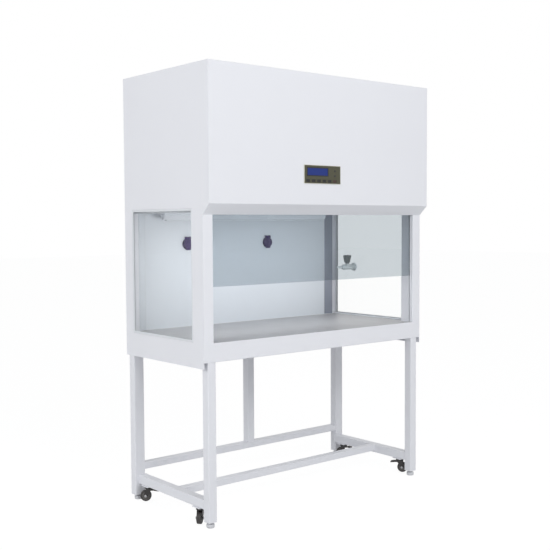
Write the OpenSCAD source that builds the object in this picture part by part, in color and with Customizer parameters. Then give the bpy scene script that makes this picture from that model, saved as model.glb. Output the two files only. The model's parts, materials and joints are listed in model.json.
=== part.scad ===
// Vertical laminar flow hood on a castor stand.
// Millimetres, +Z up, the front faces -Y. The origin is on the floor, under the middle of the
// whole machine. Each physical piece is one module, and NODES lists them.

/* [Cabinet] */
// Width over the side panels
body_w = 1300; // [1100:10:1500]
// Depth from the front of the posts to the back cover
body_d = 605; // [580:5:680]
// Height of the worktop above the floor
worktop_z = 766; // [720:2:860]
// Height from the worktop to the lower edge of the hood
opening_h = 523; // [480:1:580]
// Height of the sloping lip at the bottom of the hood's front
lip_h = 44; // [30:1:60]
// Height of the hood's upright front
hood_h = 567; // [540:1:640]
// How far the hood stands out in front of the posts
hood_overhang = 45; // [35:1:60]
// Thickness of the folded sheet steel
sheet = 1.5; // [1:0.1:2]
// Width of the folded flanges
flange_w = 15; // [10:1:20]
// Height of the side panels below the worktop
side_drop = 104; // [95:1:130]

/* [Posts and worktop] */
// Width of a front post, across the machine
post_w = 50; // [40:1:60]
// Depth of a front post, front to back
post_d = 75; // [60:1:90]
// Reach of a rear corner post into the chamber
rear_post_w = 94; // [80:1:110]
// Depth of a rear corner post in front of the back wall
rear_post_d = 18; // [14:1:30]
// Width of the sloping face of a rear corner post
rear_post_bevel = 44; // [30:1:60]
// Margin of the left side panel behind its window
window_rear = 60; // [50:1:80]
// Margin of the right side panel behind its window
right_window_rear = 17; // [16:1:40]
// Radius of the posts' folded corners
fold_r = 3; // [2:0.5:5]
// Thickness of the worktop
slab_t = 20; // [16:1:30]
// Height of the front apron
apron_h = 79; // [70:1:95]
// Depth of the space behind the chamber's back wall
back_gap = 15; // [13:1:25]

/* [Glass] */
// Thickness of the side windows and the sash
glass_t = 5; // [4:0.5:6]
// Height of the window's top edge above the hood's lower edge
window_head = 26; // [20:1:40]
// How far a side window is set in from the outer face
window_inset = 5; // [5:0.5:12]
// Width of the rubber profile around a window
seal_w = 6; // [5:0.5:12]
// Depth of the pane in its rubber profile
seal_bite = 3; // [2:0.5:4]
// Height of the sash
sash_h = 560; // [545:1:600]
// Height of the sash's lower edge above the worktop
sash_lift = 228; // [100:1:300]
// Distance from the post front to the sash
sash_set_in = 18; // [16:0.5:24]
// How far the sash reaches into each guide
sash_bite = 10; // [6:0.5:14]
// Side clearance of the sash in its guides
sash_clear = 0.3; // [0.2:0.1:1]
// Wall of the sash guide profile
guide_wall = 3; // [2:0.5:4]

/* [Stand] */
// Size of the square leg tube
leg = 40; // [30:1:50]
// Width of a rear leg
rear_leg_w = 50; // [40:1:60]
// Wall of the stand tubes
tube_wall = 2; // [1.5:0.5:3]
// Corner radius of the stand tubes
tube_r = 3; // [1:0.5:4]
// How far the front legs are set in from the machine's sides
leg_inset = 20; // [18:1:40]
// How far the front legs stand behind the front apron
leg_setback = 2; // [2:0.5:10]
// Space between the rear legs and the back cover
rear_leg_gap = 19; // [10:1:40]
// Height of the side bars' lower face
side_bar_z = 74; // [72:1:90]
// Height of the flat bars
bar_h = 30; // [20:1:36]
// How far the cross bar's top lies below the side bars' top
cross_drop = 1; // [0.5:0.5:4]
// Distance from the post front to the cross bar
cross_y = 248; // [200:1:320]
// Height of the rear bar's lower face
rear_bar_z = 136; // [120:1:240]
// Position of the rear middle post, to the right of the middle
mid_post_x = 20; // [-100:5:100]

/* [Castors and feet] */
// Castor wheel radius
wheel_r = 25; // [22:0.5:26]
// Castor wheel width
wheel_w = 20; // [16:0.5:24]
// Gap between the castor wheels and the floor while the feet carry the stand
wheel_lift = 3; // [2:0.5:4]
// Distance from the swivel axis back to the wheel's axle
castor_trail = 14; // [10:0.5:16]
// Distance from a castor's swivel axis to the leg beside it
castor_off = 50; // [50:1:90]
// Reach of the brake pedal from the swivel axis
pedal_reach = 46; // [40:0.5:47]
// Radius of the axles
axle_r = 3; // [2:0.5:4]
// Running clearance of an axle or a pin in its bore
run_clear = 0.05; // [0.02:0.01:0.1]
// Height of the legs' lower ends above the floor
foot_h = 24; // [20:1:30]
// Radius of a levelling foot's pad
pad_r = 17; // [14:0.5:20]
// Radius of a levelling foot's stem
stem_r = 6; // [4:0.5:8]

/* [Control panel] */
// Width of the control panel
panel_w = 212; // [200:1:260]
// Height of the control panel
panel_h = 77; // [70:1:90]
// Position of the panel's middle, to the right of the middle
panel_x = -40; // [-200:1:200]
// Height of the panel's middle above the hood's lip
panel_up = 131; // [100:1:200]
// How far the panel's frame stands out of the hood
panel_proud = 3; // [2:0.5:5]
// Width of a key
key_w = 21; // [16:0.5:22]
// Height of a key
key_h = 12; // [8:0.5:13]
// Distance from key to key
key_pitch = 31.6; // [26:0.1:32]
// Gap around a key
key_gap = 0.4; // [0.3:0.1:0.8]

/* [Air path] */
// Height of the HEPA filter cartridge
hepa_h = 69; // [50:1:90]
// Distance from fold to fold in the HEPA filter's paper
hepa_pitch = 24; // [20:1:40]
// Thickness of the pre-filter
pre_h = 20; // [15:1:30]
// Height of the pressure box over the filter
plenum_h = 182; // [160:1:200]
// Radius of the blower's wheel
fan_r = 95; // [80:1:100]
// Width of the blower's wheel
fan_w = 120; // [90:1:140]
// Number of blades in the blower's wheel
blades = 36; // [24:1:44]

/* [Services] */
// Position of the left socket
left_socket_x = -322; // [-450:1:-150]
// Position of the right socket
right_socket_x = 162; // [80:1:400]
// Height of the sockets above the worktop
socket_up = 392; // [250:1:420]
// Radius of a socket's round plate
socket_r = 27; // [24:0.5:30]
// Distance from the post front to the gas tap
tap_y = 448; // [300:1:480]
// Height of the gas tap above the worktop
tap_up = 256; // [180:1:300]
// Length of the gas tap from the window to its nozzle's tip
tap_l = 128; // [110:1:150]
// Radius of the gas tap's body
tap_r = 14; // [11:0.5:16]
// Largest radius of the gas knob
knob_r = 21; // [16:0.5:24]
// Height of the gas knob
knob_h = 44; // [30:1:50]

/* [Hidden] */
$fn = 48;
eps = 0.01;

steel_white = [0.87, 0.88, 0.90];
wall_white = [0.80, 0.83, 0.86];
stainless = [0.70, 0.71, 0.73];
clear_glass = [0.90, 0.95, 0.95, 0.3];
smoke_glass = [0.62, 0.70, 0.74, 0.45];
castor_black = [0.20, 0.19, 0.18];
socket_purple = [0.20, 0.15, 0.38];

// Main planes
half_w = body_w / 2;
inner_w = half_w - sheet;
total_d = body_d + hood_overhang + panel_proud;
hood_y = -total_d / 2 + panel_proud;
post_y = hood_y + hood_overhang;
back_y = post_y + body_d;
wall_y = back_y - back_gap;
lip_z = worktop_z + opening_h;
front_z = lip_z + lip_h;
top_z = front_z + hood_h;
slab_z = worktop_z - slab_t;
side_z = worktop_z - side_drop;
roof_z = top_z - sheet;

// Side window opening
win_y0 = post_y + post_d;
win_z0 = worktop_z;
win_z1 = lip_z + window_head;
glass_x = half_w - window_inset;
function win_y1(right) = back_y - (right ? right_window_rear : window_rear);

// Sash and its guides
sash_y = post_y + sash_set_in;
sash_z = worktop_z + sash_lift;
sash_w = 2 * (half_w - post_w + sash_bite);
guide_y0 = sash_y - sash_clear - guide_wall;
guide_y1 = sash_y + glass_t + sash_clear + guide_wall;
guide_x0 = half_w - post_w - 1.5;
guide_x1 = half_w - post_w + sash_bite + sash_clear + guide_wall;
guide_top = roof_z - 25;

// Air path: diffuser, filter, pressure box, blower, pre-filter
duct_y0 = guide_y1 + 5;
duct_y1 = wall_y - 3;
duct_x = half_w - leg;
screen_z = lip_z + 11;
screen_h = 18;
plenum_z = screen_z + screen_h;
deck_z = plenum_z + plenum_h;
ledge = 12;
fan_y = (duct_y0 + duct_y1) / 2;
fan_z = deck_z + 150;
scroll_r = fan_r + 12;
scroll_grow = 50;
scroll_w = fan_w + 24;
outlet_w = 118;
motor_r = 62;
motor_l = 130;
motor_gap = 14;
shaft_r = 8;
pre_w = 620;
pre_d = 420;

// Lamps
lamp_l = body_w - 2 * rear_post_w - 120;
lamp_h = 28;
lamp_w = 62;
lamp_y = wall_y - 48;
uv_r = 8;
uv_l = lamp_l - 70;

// Stand
leg_x = half_w - leg_inset;
leg_y = post_y + leg_setback;
rear_leg_y = back_y - rear_leg_gap - leg;
bar_y0 = leg_y + leg;
side_bar_top = side_bar_z + leg;
cross_z = side_bar_top - cross_drop - bar_h;
plate_t = 2.5;
plate_w = 52;

// Castors: the swivel axes, and how each castor is turned at rest
castor_x = leg_x - leg / 2;
front_castor_y = bar_y0 + castor_off;
rear_castor_y = rear_leg_y - castor_off;
front_left_turn = 220;
front_right_turn = 300;
rear_left_turn = 140;
rear_right_turn = 135;
axle_z = wheel_r + wheel_lift;
head_z1 = side_bar_z - plate_t - 0.3;
head_z0 = head_z1 - 10;
head_r = 18;
kingpin_r = 5;
cheek_t = 2.5;
cheek_in = wheel_w / 2 + 0.5;
pivot_x = castor_trail - 0.64 * wheel_r;
pivot_z = axle_z + 0.96 * wheel_r;
pedal_pin_r = 2.5;
lobe_r = sqrt(pow(pivot_x - castor_trail, 2) + pow(pivot_z - axle_z, 2)) - wheel_r - 0.55;

// Control panel
panel_z = front_z + panel_up;
lcd_w = 120;
lcd_h = 32;
lcd_x = panel_x - panel_w / 2 + 17 + lcd_w / 2;
lcd_z = panel_z + 11.5;
key_row_z = panel_z - panel_h / 2 + 10.5;
key_x0 = panel_x - panel_w / 2 + 21;
key_in = 2;
lens_x = panel_x + panel_w / 2 - 33;
// The seat behind the panel's rim also reaches past the outer keys
panel_rim = 8;
key_wall = 1.5;
row_reach = key_w / 2 + key_gap + key_wall;
seat_x0 = min(panel_x - panel_w / 2 + panel_rim, key_x0 - row_reach);
seat_x1 = max(panel_x + panel_w / 2 - panel_rim, key_x0 + 5 * key_pitch + row_reach);
box_d = sash_set_in + hood_overhang - guide_wall - sash_clear - 6;

// Services
socket_z = worktop_z + socket_up;
lid_z = socket_z + socket_r + 2;
lid_y = wall_y - 9;
lid_pin_r = 2.2;
tap_z = worktop_z + tap_up;
tap_cy = post_y + tap_y;
tap_x = glass_x - glass_t;
knob_x = tap_x - 51;
knob_z = tap_z + tap_r + 4.3;

// Small shared shapes
module box(x0, x1, y0, y1, z0, z1) {
    translate([x0, y0, z0]) cube([x1 - x0, y1 - y0, z1 - z0]);
}

module mirrored(right) {
    if (right) mirror([1, 0, 0]) children();
    else children();
}

module rounded_square(w, d, r) {
    translate([r, 0]) square([w - 2 * r, d]);
    translate([0, r]) square([w, d - 2 * r]);
    for (x = [r, w - r], y = [r, d - r]) translate([x, y]) circle(r);
}

// A square tube standing up, its corner at the origin
module tube(w, d, l) {
    linear_extrude(l) difference() {
        rounded_square(w, d, tube_r);
        translate([tube_wall, tube_wall]) square([w - 2 * tube_wall, d - 2 * tube_wall]);
    }
}

// The same tube lying along Y, with its lower corner at the origin
module tube_y(w, h, l) {
    translate([0, l, 0]) rotate([90, 0, 0]) tube(w, h, l);
}

// The same tube lying along X
module tube_x(d, h, l) {
    rotate([90, 0, 90]) tube(d, h, l);
}

// Cabinet: the left side panel, with its rear post and flanges folded in one piece
module side_outline() {
    polygon([[hood_y, top_z], [hood_y, front_z], [post_y, lip_z], [post_y, side_z],
        [back_y, side_z], [back_y, top_z]]);
}

module rear_post_outline(wall) {
    polygon([[wall, back_gap - 2 * sheet - wall], [wall, wall - rear_post_d],
        [rear_post_w - rear_post_bevel - wall * 0.2, wall - rear_post_d],
        [rear_post_w - wall, wall * 0.8], [rear_post_w - wall, back_gap - 2 * sheet - wall]]);
}

// On the right the window reaches back past the post, so the post keeps only its sloping face
module slim_post_outline(wall) {
    x0 = rear_post_w - rear_post_bevel;
    slope = rear_post_d / rear_post_bevel;
    y_in = wall * sqrt(1 + slope * slope);
    polygon([[x0 + wall, back_gap - 2 * sheet - wall],
        [x0 + wall, wall * slope + y_in - rear_post_d],
        [rear_post_w - wall, y_in - wall * slope],
        [rear_post_w - wall, back_gap - 2 * sheet - wall]]);
}

module side_panel(right) {
    translate([-half_w, 0, 0]) rotate([90, 0, 90]) linear_extrude(sheet) difference() {
        side_outline();
        translate([win_y0, win_z0]) square([win_y1(right) - win_y0, win_z1 - win_z0]);
    }
    // Rear corner post
    translate([-half_w, wall_y, worktop_z]) linear_extrude(screen_z - worktop_z) {
        if (right) {
            difference() {
                slim_post_outline(0);
                slim_post_outline(sheet);
            }
            translate([0, back_gap - 3 * sheet]) square([rear_post_w - rear_post_bevel + sheet, sheet]);
        } else difference() {
            rear_post_outline(0);
            rear_post_outline(sheet);
        }
    }
    // Flanges: the lower edge, the window's head, the roof and the rear edge
    box(-inner_w - eps, -inner_w + flange_w, bar_y0, rear_leg_y - 2, side_z, side_z + sheet);
    box(-inner_w - eps, -inner_w + flange_w, win_y0, win_y1(right), win_z1, win_z1 + sheet);
    box(-inner_w - eps, -inner_w + flange_w, hood_y + 2 * sheet, back_y - 2 * sheet,
        roof_z - sheet, roof_z);
    box(-inner_w - eps, -inner_w + flange_w, back_y - 2 * sheet, back_y - sheet,
        deck_z + sheet, roof_z);
}

module left_side_panel() {
    color(steel_white) side_panel(false);
}

module right_side_panel() {
    color(steel_white) mirrored(true) side_panel(true);
}

// A front post, folded to a closed box, with a slot for the sash guide
module front_post() {
    difference() {
        translate([-inner_w, post_y, worktop_z])
            linear_extrude(screen_z - worktop_z) difference() {
                union() {
                    square([fold_r, post_d]);
                    translate([0, fold_r]) square([post_w - sheet, post_d - fold_r]);
                    square([post_w - sheet - fold_r, post_d]);
                    translate([post_w - sheet - fold_r, fold_r]) circle(fold_r);
                }
                translate([sheet, sheet])
                    square([post_w - 3 * sheet, post_d - 2 * sheet]);
            }
        box(-guide_x1, -half_w + post_w + 1, guide_y0, guide_y1, worktop_z - 1, top_z);
    }
}

module left_front_post() {
    color(steel_white) front_post();
}

module right_front_post() {
    color(steel_white) mirrored(true) front_post();
}

// The back cover: one flat sheet with stiffening beads and a cut-out for the power inlet
inlet_w = 28;
inlet_h = 20;
inlet_x = half_w - 140;
inlet_z = deck_z + 60;
bead_h = 8;
bead_x = half_w - rear_post_w - 10;

module back_cover() {
    color(steel_white) difference() {
        union() {
            box(-inner_w, inner_w, back_y - sheet, back_y, side_z, roof_z);
            for (z = [worktop_z + 150, lip_z - 60, deck_z + 150])
                box(-bead_x, bead_x, back_y - sheet - 4, back_y - sheet + eps, z, z + bead_h);
        }
        box(inlet_x - inlet_w / 2, inlet_x + inlet_w / 2, back_y - 20, back_y + 1,
            inlet_z, inlet_z + inlet_h);
    }
}

// The chamber's back wall: a folded tray, its two round holes for the sockets
module back_wall() {
    x = half_w - rear_post_w;
    color(wall_white) difference() {
        union() {
            box(-x, x, wall_y, wall_y + sheet, worktop_z, plenum_z);
            for (s = [-1, 1])
                box(s > 0 ? x - sheet : -x, s > 0 ? x : -x + sheet, wall_y, back_y - sheet - 4.5,
                    worktop_z, plenum_z);
        }
        for (x = [left_socket_x, right_socket_x])
            translate([x, wall_y - 1, socket_z]) rotate([-90, 0, 0]) cylinder(r = 21, h = 4);
    }
}

// The front apron: a channel with its lower edge turned back, notched for the two legs
notch_gap = 1;

module front_apron() {
    z0 = worktop_z - apron_h;
    color(steel_white) difference() {
        translate([-inner_w, 0, 0]) rotate([90, 0, 90]) linear_extrude(2 * inner_w) union() {
            translate([post_y, z0 + fold_r]) square([sheet, apron_h - fold_r]);
            translate([post_y + fold_r, z0]) square([leg_setback + 8 - fold_r, sheet]);
            intersection() {
                translate([post_y + fold_r, z0 + fold_r]) difference() {
                    circle(fold_r);
                    circle(fold_r - sheet);
                }
                translate([post_y, z0]) square(fold_r + eps);
            }
        }
        for (x = [-leg_x, leg_x - leg])
            box(x - notch_gap, x + leg + notch_gap, post_y + sheet, leg_y + leg,
                z0 - 1, z0 + fold_r + 1);
    }
}

// The worktop: a stainless slab between the side panels
module worktop() {
    color(stainless)
        box(-inner_w, inner_w, post_y + sheet, back_y - sheet - 4.5, slab_z, worktop_z);
}

// The roof: a sheet with a field of air slots over the pre-filter
slot_l = 60;
slot_w = 8;
slot_cols = 8;
slot_rows = 20;

module roof_panel() {
    dx = (pre_w - 50) / slot_cols;
    dy = (pre_d - 40) / slot_rows;
    color(steel_white) translate([0, 0, roof_z]) linear_extrude(sheet) difference() {
        translate([-inner_w, hood_y + sheet]) square([2 * inner_w, total_d - panel_proud - 2 * sheet]);
        for (i = [0 : slot_cols - 1], j = [0 : slot_rows - 1])
            translate([(i + 0.5 - slot_cols / 2) * dx - slot_l / 2,
                       fan_y + (j + 0.5 - slot_rows / 2) * dy - slot_w / 2])
                square([slot_l, slot_w]);
    }
}

// The hood's front cover: upright, then sloping back as the lip, with its edge turned in
module cover_profile() {
    slope = atan2(lip_h, hood_overhang);
    t = sheet / cos((90 - slope) / 2);
    k = sheet * tan((90 - slope) / 2);
    polygon([[hood_y, top_z], [hood_y, front_z], [post_y, lip_z],
        [post_y + 8, lip_z], [post_y + 8, lip_z + sheet],
        [post_y + k * 0.4, lip_z + sheet], [hood_y + sheet, front_z + k],
        [hood_y + sheet, top_z]]);
}

module front_cover() {
    x = half_w - post_w - 0.5;
    color(steel_white) difference() {
        translate([-inner_w, 0, 0]) rotate([90, 0, 90]) linear_extrude(2 * inner_w)
            cover_profile();
        // The turned-in edge stops short of the posts
        for (s = [-1, 1])
            box(s > 0 ? x : -half_w, s > 0 ? half_w : -x, post_y - eps, post_y + 20,
                lip_z - 1, lip_z + 10);
        // Seat of the control panel
        box(seat_x0, seat_x1, hood_y - 1, hood_y + sheet + 1,
            panel_z - panel_h / 2 + 2, panel_z + panel_h / 2 - 6);
    }
}

// Glass and seals
module side_pane(right) {
    box(-glass_x, -glass_x + glass_t, win_y0 + seal_w - seal_bite, win_y1(right) - seal_w + seal_bite,
        win_z0 + seal_w - seal_bite, win_z1 - seal_w + seal_bite);
}

module left_glass() {
    color(clear_glass) side_pane(false);
}

module right_glass() {
    color(clear_glass) difference() {
        mirrored(true) side_pane(true);
        translate([tap_x - 1, tap_cy, tap_z]) rotate([0, 90, 0]) cylinder(r = 10, h = glass_t + 2);
    }
}

module window_seal(right) {
    lap = 2;
    difference() {
        box(-glass_x - lap, -glass_x + glass_t + lap, win_y0, win_y1(right), win_z0, win_z1);
        box(-half_w, -glass_x + glass_t + 10, win_y0 + seal_w, win_y1(right) - seal_w,
            win_z0 + seal_w, win_z1 - seal_w);
        side_pane(right);
    }
}

module window_gaskets() {
    color([0.82, 0.83, 0.85]) {
        window_seal(false);
        mirrored(true) window_seal(true);
    }
}

module sash_glass() {
    color(smoke_glass) box(-sash_w / 2, sash_w / 2, sash_y, sash_y + glass_t,
        sash_z, sash_z + sash_h);
}

module sash_guide() {
    difference() {
        box(-guide_x1, -guide_x0, guide_y0, guide_y1, worktop_z, guide_top);
        box(-guide_x1 + guide_wall, -guide_x0 + 1, guide_y0 + guide_wall, guide_y1 - guide_wall,
            worktop_z - 1, guide_top + 1);
    }
}

module sash_guides() {
    color([0.78, 0.79, 0.80]) {
        sash_guide();
        mirrored(true) sash_guide();
    }
}

// Air path
// A sheet of paper folded in zigzags, seen from its end
module pleats(w, h, pitch, t) {
    n = floor(w / pitch);
    p = w / n;
    lower = [for (i = [0 : 2 * n]) [i * p / 2, i % 2 == 0 ? 0 : h - t * 2]];
    upper = [for (i = [2 * n : -1 : 0]) [i * p / 2, i % 2 == 0 ? t * 2 : h]];
    polygon(concat(lower, upper));
}

module filter_frame(x, y0, y1, z0, h, wall) {
    difference() {
        box(-x, x, y0, y1, z0, z0 + h);
        box(-x + wall, x - wall, y0 + wall, y1 - wall, z0 - 1, z0 + h + 1);
    }
}

module hepa_filter() {
    x = duct_x - sheet - 1;
    y0 = duct_y0 + sheet + 1;
    y1 = duct_y1 - sheet - 1;
    wall = 12;
    color([0.93, 0.93, 0.90]) {
        filter_frame(x, y0, y1, plenum_z + sheet, hepa_h, wall);
        translate([-x + wall - eps, y1 - wall + eps, plenum_z + sheet + 4])
            rotate([90, 0, 0]) linear_extrude(y1 - y0 - 2 * wall + 2 * eps)
                pleats(2 * (x - wall) + 2 * eps, hepa_h - 8, hepa_pitch, 1.2);
    }
}

// The diffuser: a tray under the filter, with rows of slots in its floor
module diffuser_screen() {
    cols = 14;
    rows = 12;
    wx = 2 * duct_x - 60;
    wy = lamp_y - lamp_w / 2 - duct_y0 - 30;
    color([0.80, 0.81, 0.83]) difference() {
        box(-duct_x, duct_x, duct_y0, duct_y1, screen_z, plenum_z);
        box(-duct_x + sheet, duct_x - sheet, duct_y0 + sheet, duct_y1 - sheet,
            screen_z + sheet, plenum_z + 1);
        translate([0, 0, screen_z - 1]) linear_extrude(sheet + 2)
            for (i = [0 : cols - 1], j = [0 : rows - 1])
                translate([(i + 0.15 - cols / 2) * wx / cols, duct_y0 + 15 + (j + 0.25) * wy / rows])
                    square([0.7 * wx / cols, 0.45 * wy / rows]);
    }
}

// The pressure box: walls around the filter and a deck above, which carries the blower
module plenum_box() {
    color(steel_white) {
        difference() {
            box(-duct_x, duct_x, duct_y0, duct_y1, plenum_z, deck_z);
            box(-duct_x + sheet, duct_x - sheet, duct_y0 + sheet, duct_y1 - sheet,
                plenum_z + sheet, deck_z + 1);
            box(-duct_x + ledge, duct_x - ledge, duct_y0 + ledge, duct_y1 - ledge,
                plenum_z - 1, plenum_z + 2 * sheet);
        }
        difference() {
            box(-inner_w, inner_w, duct_y0, back_y - sheet - 4.5, deck_z - sheet, deck_z);
            box(-scroll_w / 2 + sheet, scroll_w / 2 - sheet, fan_y + scroll_r + scroll_grow - outlet_w,
                fan_y + scroll_r + scroll_grow - sheet, deck_z - sheet - 1, deck_z + 1);
        }
    }
}

// The blower's casing: a spiral that grows from the cut-off round to the outlet, which opens
// down through the deck
function spiral(a) = scroll_r + scroll_grow * a / 360;

module scroll_shape(wall) {
    polygon(concat(
        [for (a = [70 : 5 : 360]) (spiral(a) - wall) * [cos(a), -sin(a)]],
        [[spiral(360) - wall, deck_z - fan_z - wall],
         [spiral(360) - outlet_w + wall, deck_z - fan_z - wall]]));
}

module blower_housing() {
    inlet_r = fan_r * 0.82;
    color([0.72, 0.73, 0.75]) translate([0, fan_y, fan_z]) rotate([90, 0, 90]) difference() {
        translate([0, 0, -scroll_w / 2]) linear_extrude(scroll_w) scroll_shape(0);
        translate([0, 0, -scroll_w / 2 + sheet]) linear_extrude(scroll_w - 2 * sheet)
            scroll_shape(sheet);
        translate([0, 0, -scroll_w]) cylinder(r = inlet_r, h = 2 * scroll_w);
    }
}

// Forward-curved blades between two rings, on a back plate with the hub and the shaft
module blade_ring() {
    r0 = fan_r * 0.8;
    blade_r = fan_r * 0.16;
    for (i = [0 : blades - 1])
        rotate(i * 360 / blades) intersection() {
            difference() {
                circle(fan_r);
                circle(r0);
            }
            translate([(r0 + fan_r) / 2, -blade_r * 0.8]) difference() {
                circle(blade_r, $fn = 36);
                circle(blade_r - 1.4, $fn = 36);
                translate([-2 * blade_r, -3 * blade_r]) square([4 * blade_r, 3 * blade_r]);
            }
        }
}

module impeller() {
    ring_in = fan_r * 0.79;
    ring_out = fan_r + 0.5;
    ring_t = 2;
    color([0.75, 0.76, 0.78]) translate([0, fan_y, fan_z]) rotate([0, 90, 0]) {
        translate([0, 0, -fan_w / 2]) linear_extrude(fan_w) blade_ring();
        for (z = [-fan_w / 2, fan_w / 2 - ring_t])
            translate([0, 0, z]) difference() {
                cylinder(r = ring_out, h = ring_t);
                translate([0, 0, -1]) cylinder(r = ring_in, h = ring_t + 2);
            }
        cylinder(r = fan_r - 0.5, h = ring_t);
        translate([0, 0, -20]) cylinder(r = 20, h = 40);
        cylinder(r = shaft_r, h = scroll_w / 2 + motor_gap + 30);
    }
}

module blower_motor() {
    x0 = scroll_w / 2 + motor_gap;
    fin = 3;
    color([0.45, 0.47, 0.50]) {
        translate([x0, fan_y, fan_z]) rotate([0, 90, 0]) difference() {
            union() {
                cylinder(r = motor_r - 6, h = motor_l);
                for (i = [0 : 6]) translate([0, 0, 12 + i * 17]) cylinder(r = motor_r, h = fin);
                translate([0, 0, -8]) cylinder(r = 22, h = 10);
            }
            translate([0, 0, -9]) cylinder(r = shaft_r + run_clear, h = 60);
        }
        // Cradle down to the deck
        difference() {
            box(x0 + 20, x0 + motor_l - 20, fan_y - 60, fan_y + 60, deck_z, fan_z - 20);
            translate([x0, fan_y, fan_z]) rotate([0, 90, 0]) translate([0, 0, -1])
                cylinder(r = motor_r - 7, h = motor_l + 2);
            box(x0 + 24, x0 + motor_l - 24, fan_y - 80, fan_y + 80, deck_z + 4, fan_z - motor_r - 4);
            box(x0 + 10, x0 + motor_l - 10, fan_y - 52, fan_y + 52, deck_z + 4, fan_z - motor_r - 4);
        }
    }
}

module prefilter() {
    x = pre_w / 2;
    z = roof_z - pre_h;
    wall = 8;
    color([0.90, 0.92, 0.93]) {
        filter_frame(x, fan_y - pre_d / 2, fan_y + pre_d / 2, z, pre_h, wall);
        translate([-x + wall - eps, fan_y + pre_d / 2 - wall + eps, z + 2]) rotate([90, 0, 0])
            linear_extrude(pre_d - 2 * wall + 2 * eps)
                pleats(2 * (x - wall) + 2 * eps, pre_h - 4, 22, 1);
    }
}

// Lamps: one batten under the ceiling, with the light strip in front and the tube's holders behind
module lamp_fixture() {
    z = screen_z - lamp_h;
    color([0.92, 0.93, 0.94]) {
        translate([-lamp_l / 2, 0, 0]) rotate([90, 0, 90]) linear_extrude(lamp_l)
            polygon([[lamp_y - lamp_w / 2, screen_z], [lamp_y - lamp_w / 2, screen_z - 10],
                [lamp_y - lamp_w / 2 + 8, z], [lamp_y - 4, z], [lamp_y + 2, screen_z - 8],
                [lamp_y + lamp_w / 2, screen_z - 8], [lamp_y + lamp_w / 2, screen_z]]);
        for (s = [-1, 1])
            translate([s * (uv_l / 2 + 8) - 8, lamp_y + 17 - 10, z])
                difference() {
                    cube([16, 20, lamp_h - 7]);
                    translate([8 - s * 8 - 6, 10, 10]) rotate([0, 90, 0])
                        cylinder(r = uv_r + 0.3, h = 12);
                }
    }
}

module uv_tube() {
    color([0.93, 0.95, 0.98]) translate([-uv_l / 2 - 5, lamp_y + 17, screen_z - lamp_h + 10])
        rotate([0, 90, 0]) cylinder(r = uv_r, h = uv_l + 10);
}

// Control panel
module panel_bezel() {
    z0 = panel_z - panel_h / 2;
    color([0.36, 0.38, 0.34]) difference() {
        union() {
            box(panel_x - panel_w / 2, panel_x + panel_w / 2, hood_y - panel_proud, hood_y,
                z0, z0 + panel_h);
            box(seat_x0, seat_x1, hood_y - eps, hood_y + sheet + 4,
                z0 + 2, z0 + panel_h - 6);
            for (z = [panel_z + 17, panel_z - 4])
                translate([lens_x, hood_y - panel_proud, z]) rotate([-90, 0, 0])
                    cylinder(r = 5, h = panel_proud);
        }
        // Window for the display
        box(lcd_x - lcd_w / 2, lcd_x + lcd_w / 2, hood_y - panel_proud - 1, hood_y - panel_proud + 2,
            lcd_z - lcd_h / 2, lcd_z + lcd_h / 2);
        // Holes for the keys
        for (i = [0 : 5])
            translate([key_x0 + i * key_pitch, 0, key_row_z])
                box(-key_w / 2 - key_gap, key_w / 2 + key_gap, hood_y - panel_proud - 1,
                    hood_y + sheet + 5, -key_h / 2 - key_gap, key_h / 2 + key_gap);
    }
}

module display() {
    color([0.10, 0.18, 0.50]) box(lcd_x - lcd_w / 2, lcd_x + lcd_w / 2,
        hood_y - panel_proud + 0.6, hood_y - panel_proud + 2,
        lcd_z - lcd_h / 2, lcd_z + lcd_h / 2);
}

module key(i) {
    r = 1.5;
    color([0.16, 0.17, 0.16])
        translate([key_x0 + (i - 1) * key_pitch - key_w / 2, hood_y + sheet + key_in,
                   key_row_z - key_h / 2])
            rotate([90, 0, 0]) linear_extrude(sheet + key_in + panel_proud - 0.4)
                rounded_square(key_w, key_h, r);
}

module key_1() { key(1); }
module key_2() { key(2); }
module key_3() { key(3); }
module key_4() { key(4); }
module key_5() { key(5); }
module key_6() { key(6); }

// The electronics behind the panel, in a folded box open at the bottom for its wires
module control_box() {
    y0 = hood_y + sheet + 4;
    x0 = seat_x0;
    x1 = seat_x1;
    z0 = panel_z - panel_h / 2 + 2;
    z1 = panel_z + panel_h / 2 + 20;
    color([0.70, 0.72, 0.74]) difference() {
        box(x0, x1, y0, hood_y + box_d, z0, z1);
        box(x0 + sheet, x1 - sheet, y0 - 1, hood_y + box_d - sheet, z0 + sheet, z1 - sheet);
    }
}

// Sockets with hinged lids
module socket_base(x) {
    translate([x, wall_y, socket_z]) rotate([90, 0, 0]) {
        difference() {
            union() {
                cylinder(r = socket_r, h = 4);
                translate([0, 0, -sheet - 7]) cylinder(r = 20.8, h = sheet + 7 + eps);
                cylinder(r = 20, h = 6);
            }
            for (a = [-1, 1]) translate([a * 6 - 1.2, -3, -4]) cube([2.4, 8, 12]);
            translate([-3, -12, -4]) cube([6, 2.4, 12]);
        }
        // Hinge ears
        for (s = [-1, 1]) difference() {
            translate([s * 11 - 2, socket_r - 6, 0]) cube([4, 13, 14]);
            translate([s * 11 - 3, lid_z - socket_z, 9]) rotate([0, 90, 0])
                cylinder(r = lid_pin_r + run_clear, h = 6);
        }
    }
}

module sockets() {
    color(socket_purple) for (x = [left_socket_x, right_socket_x]) socket_base(x);
}

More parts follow.
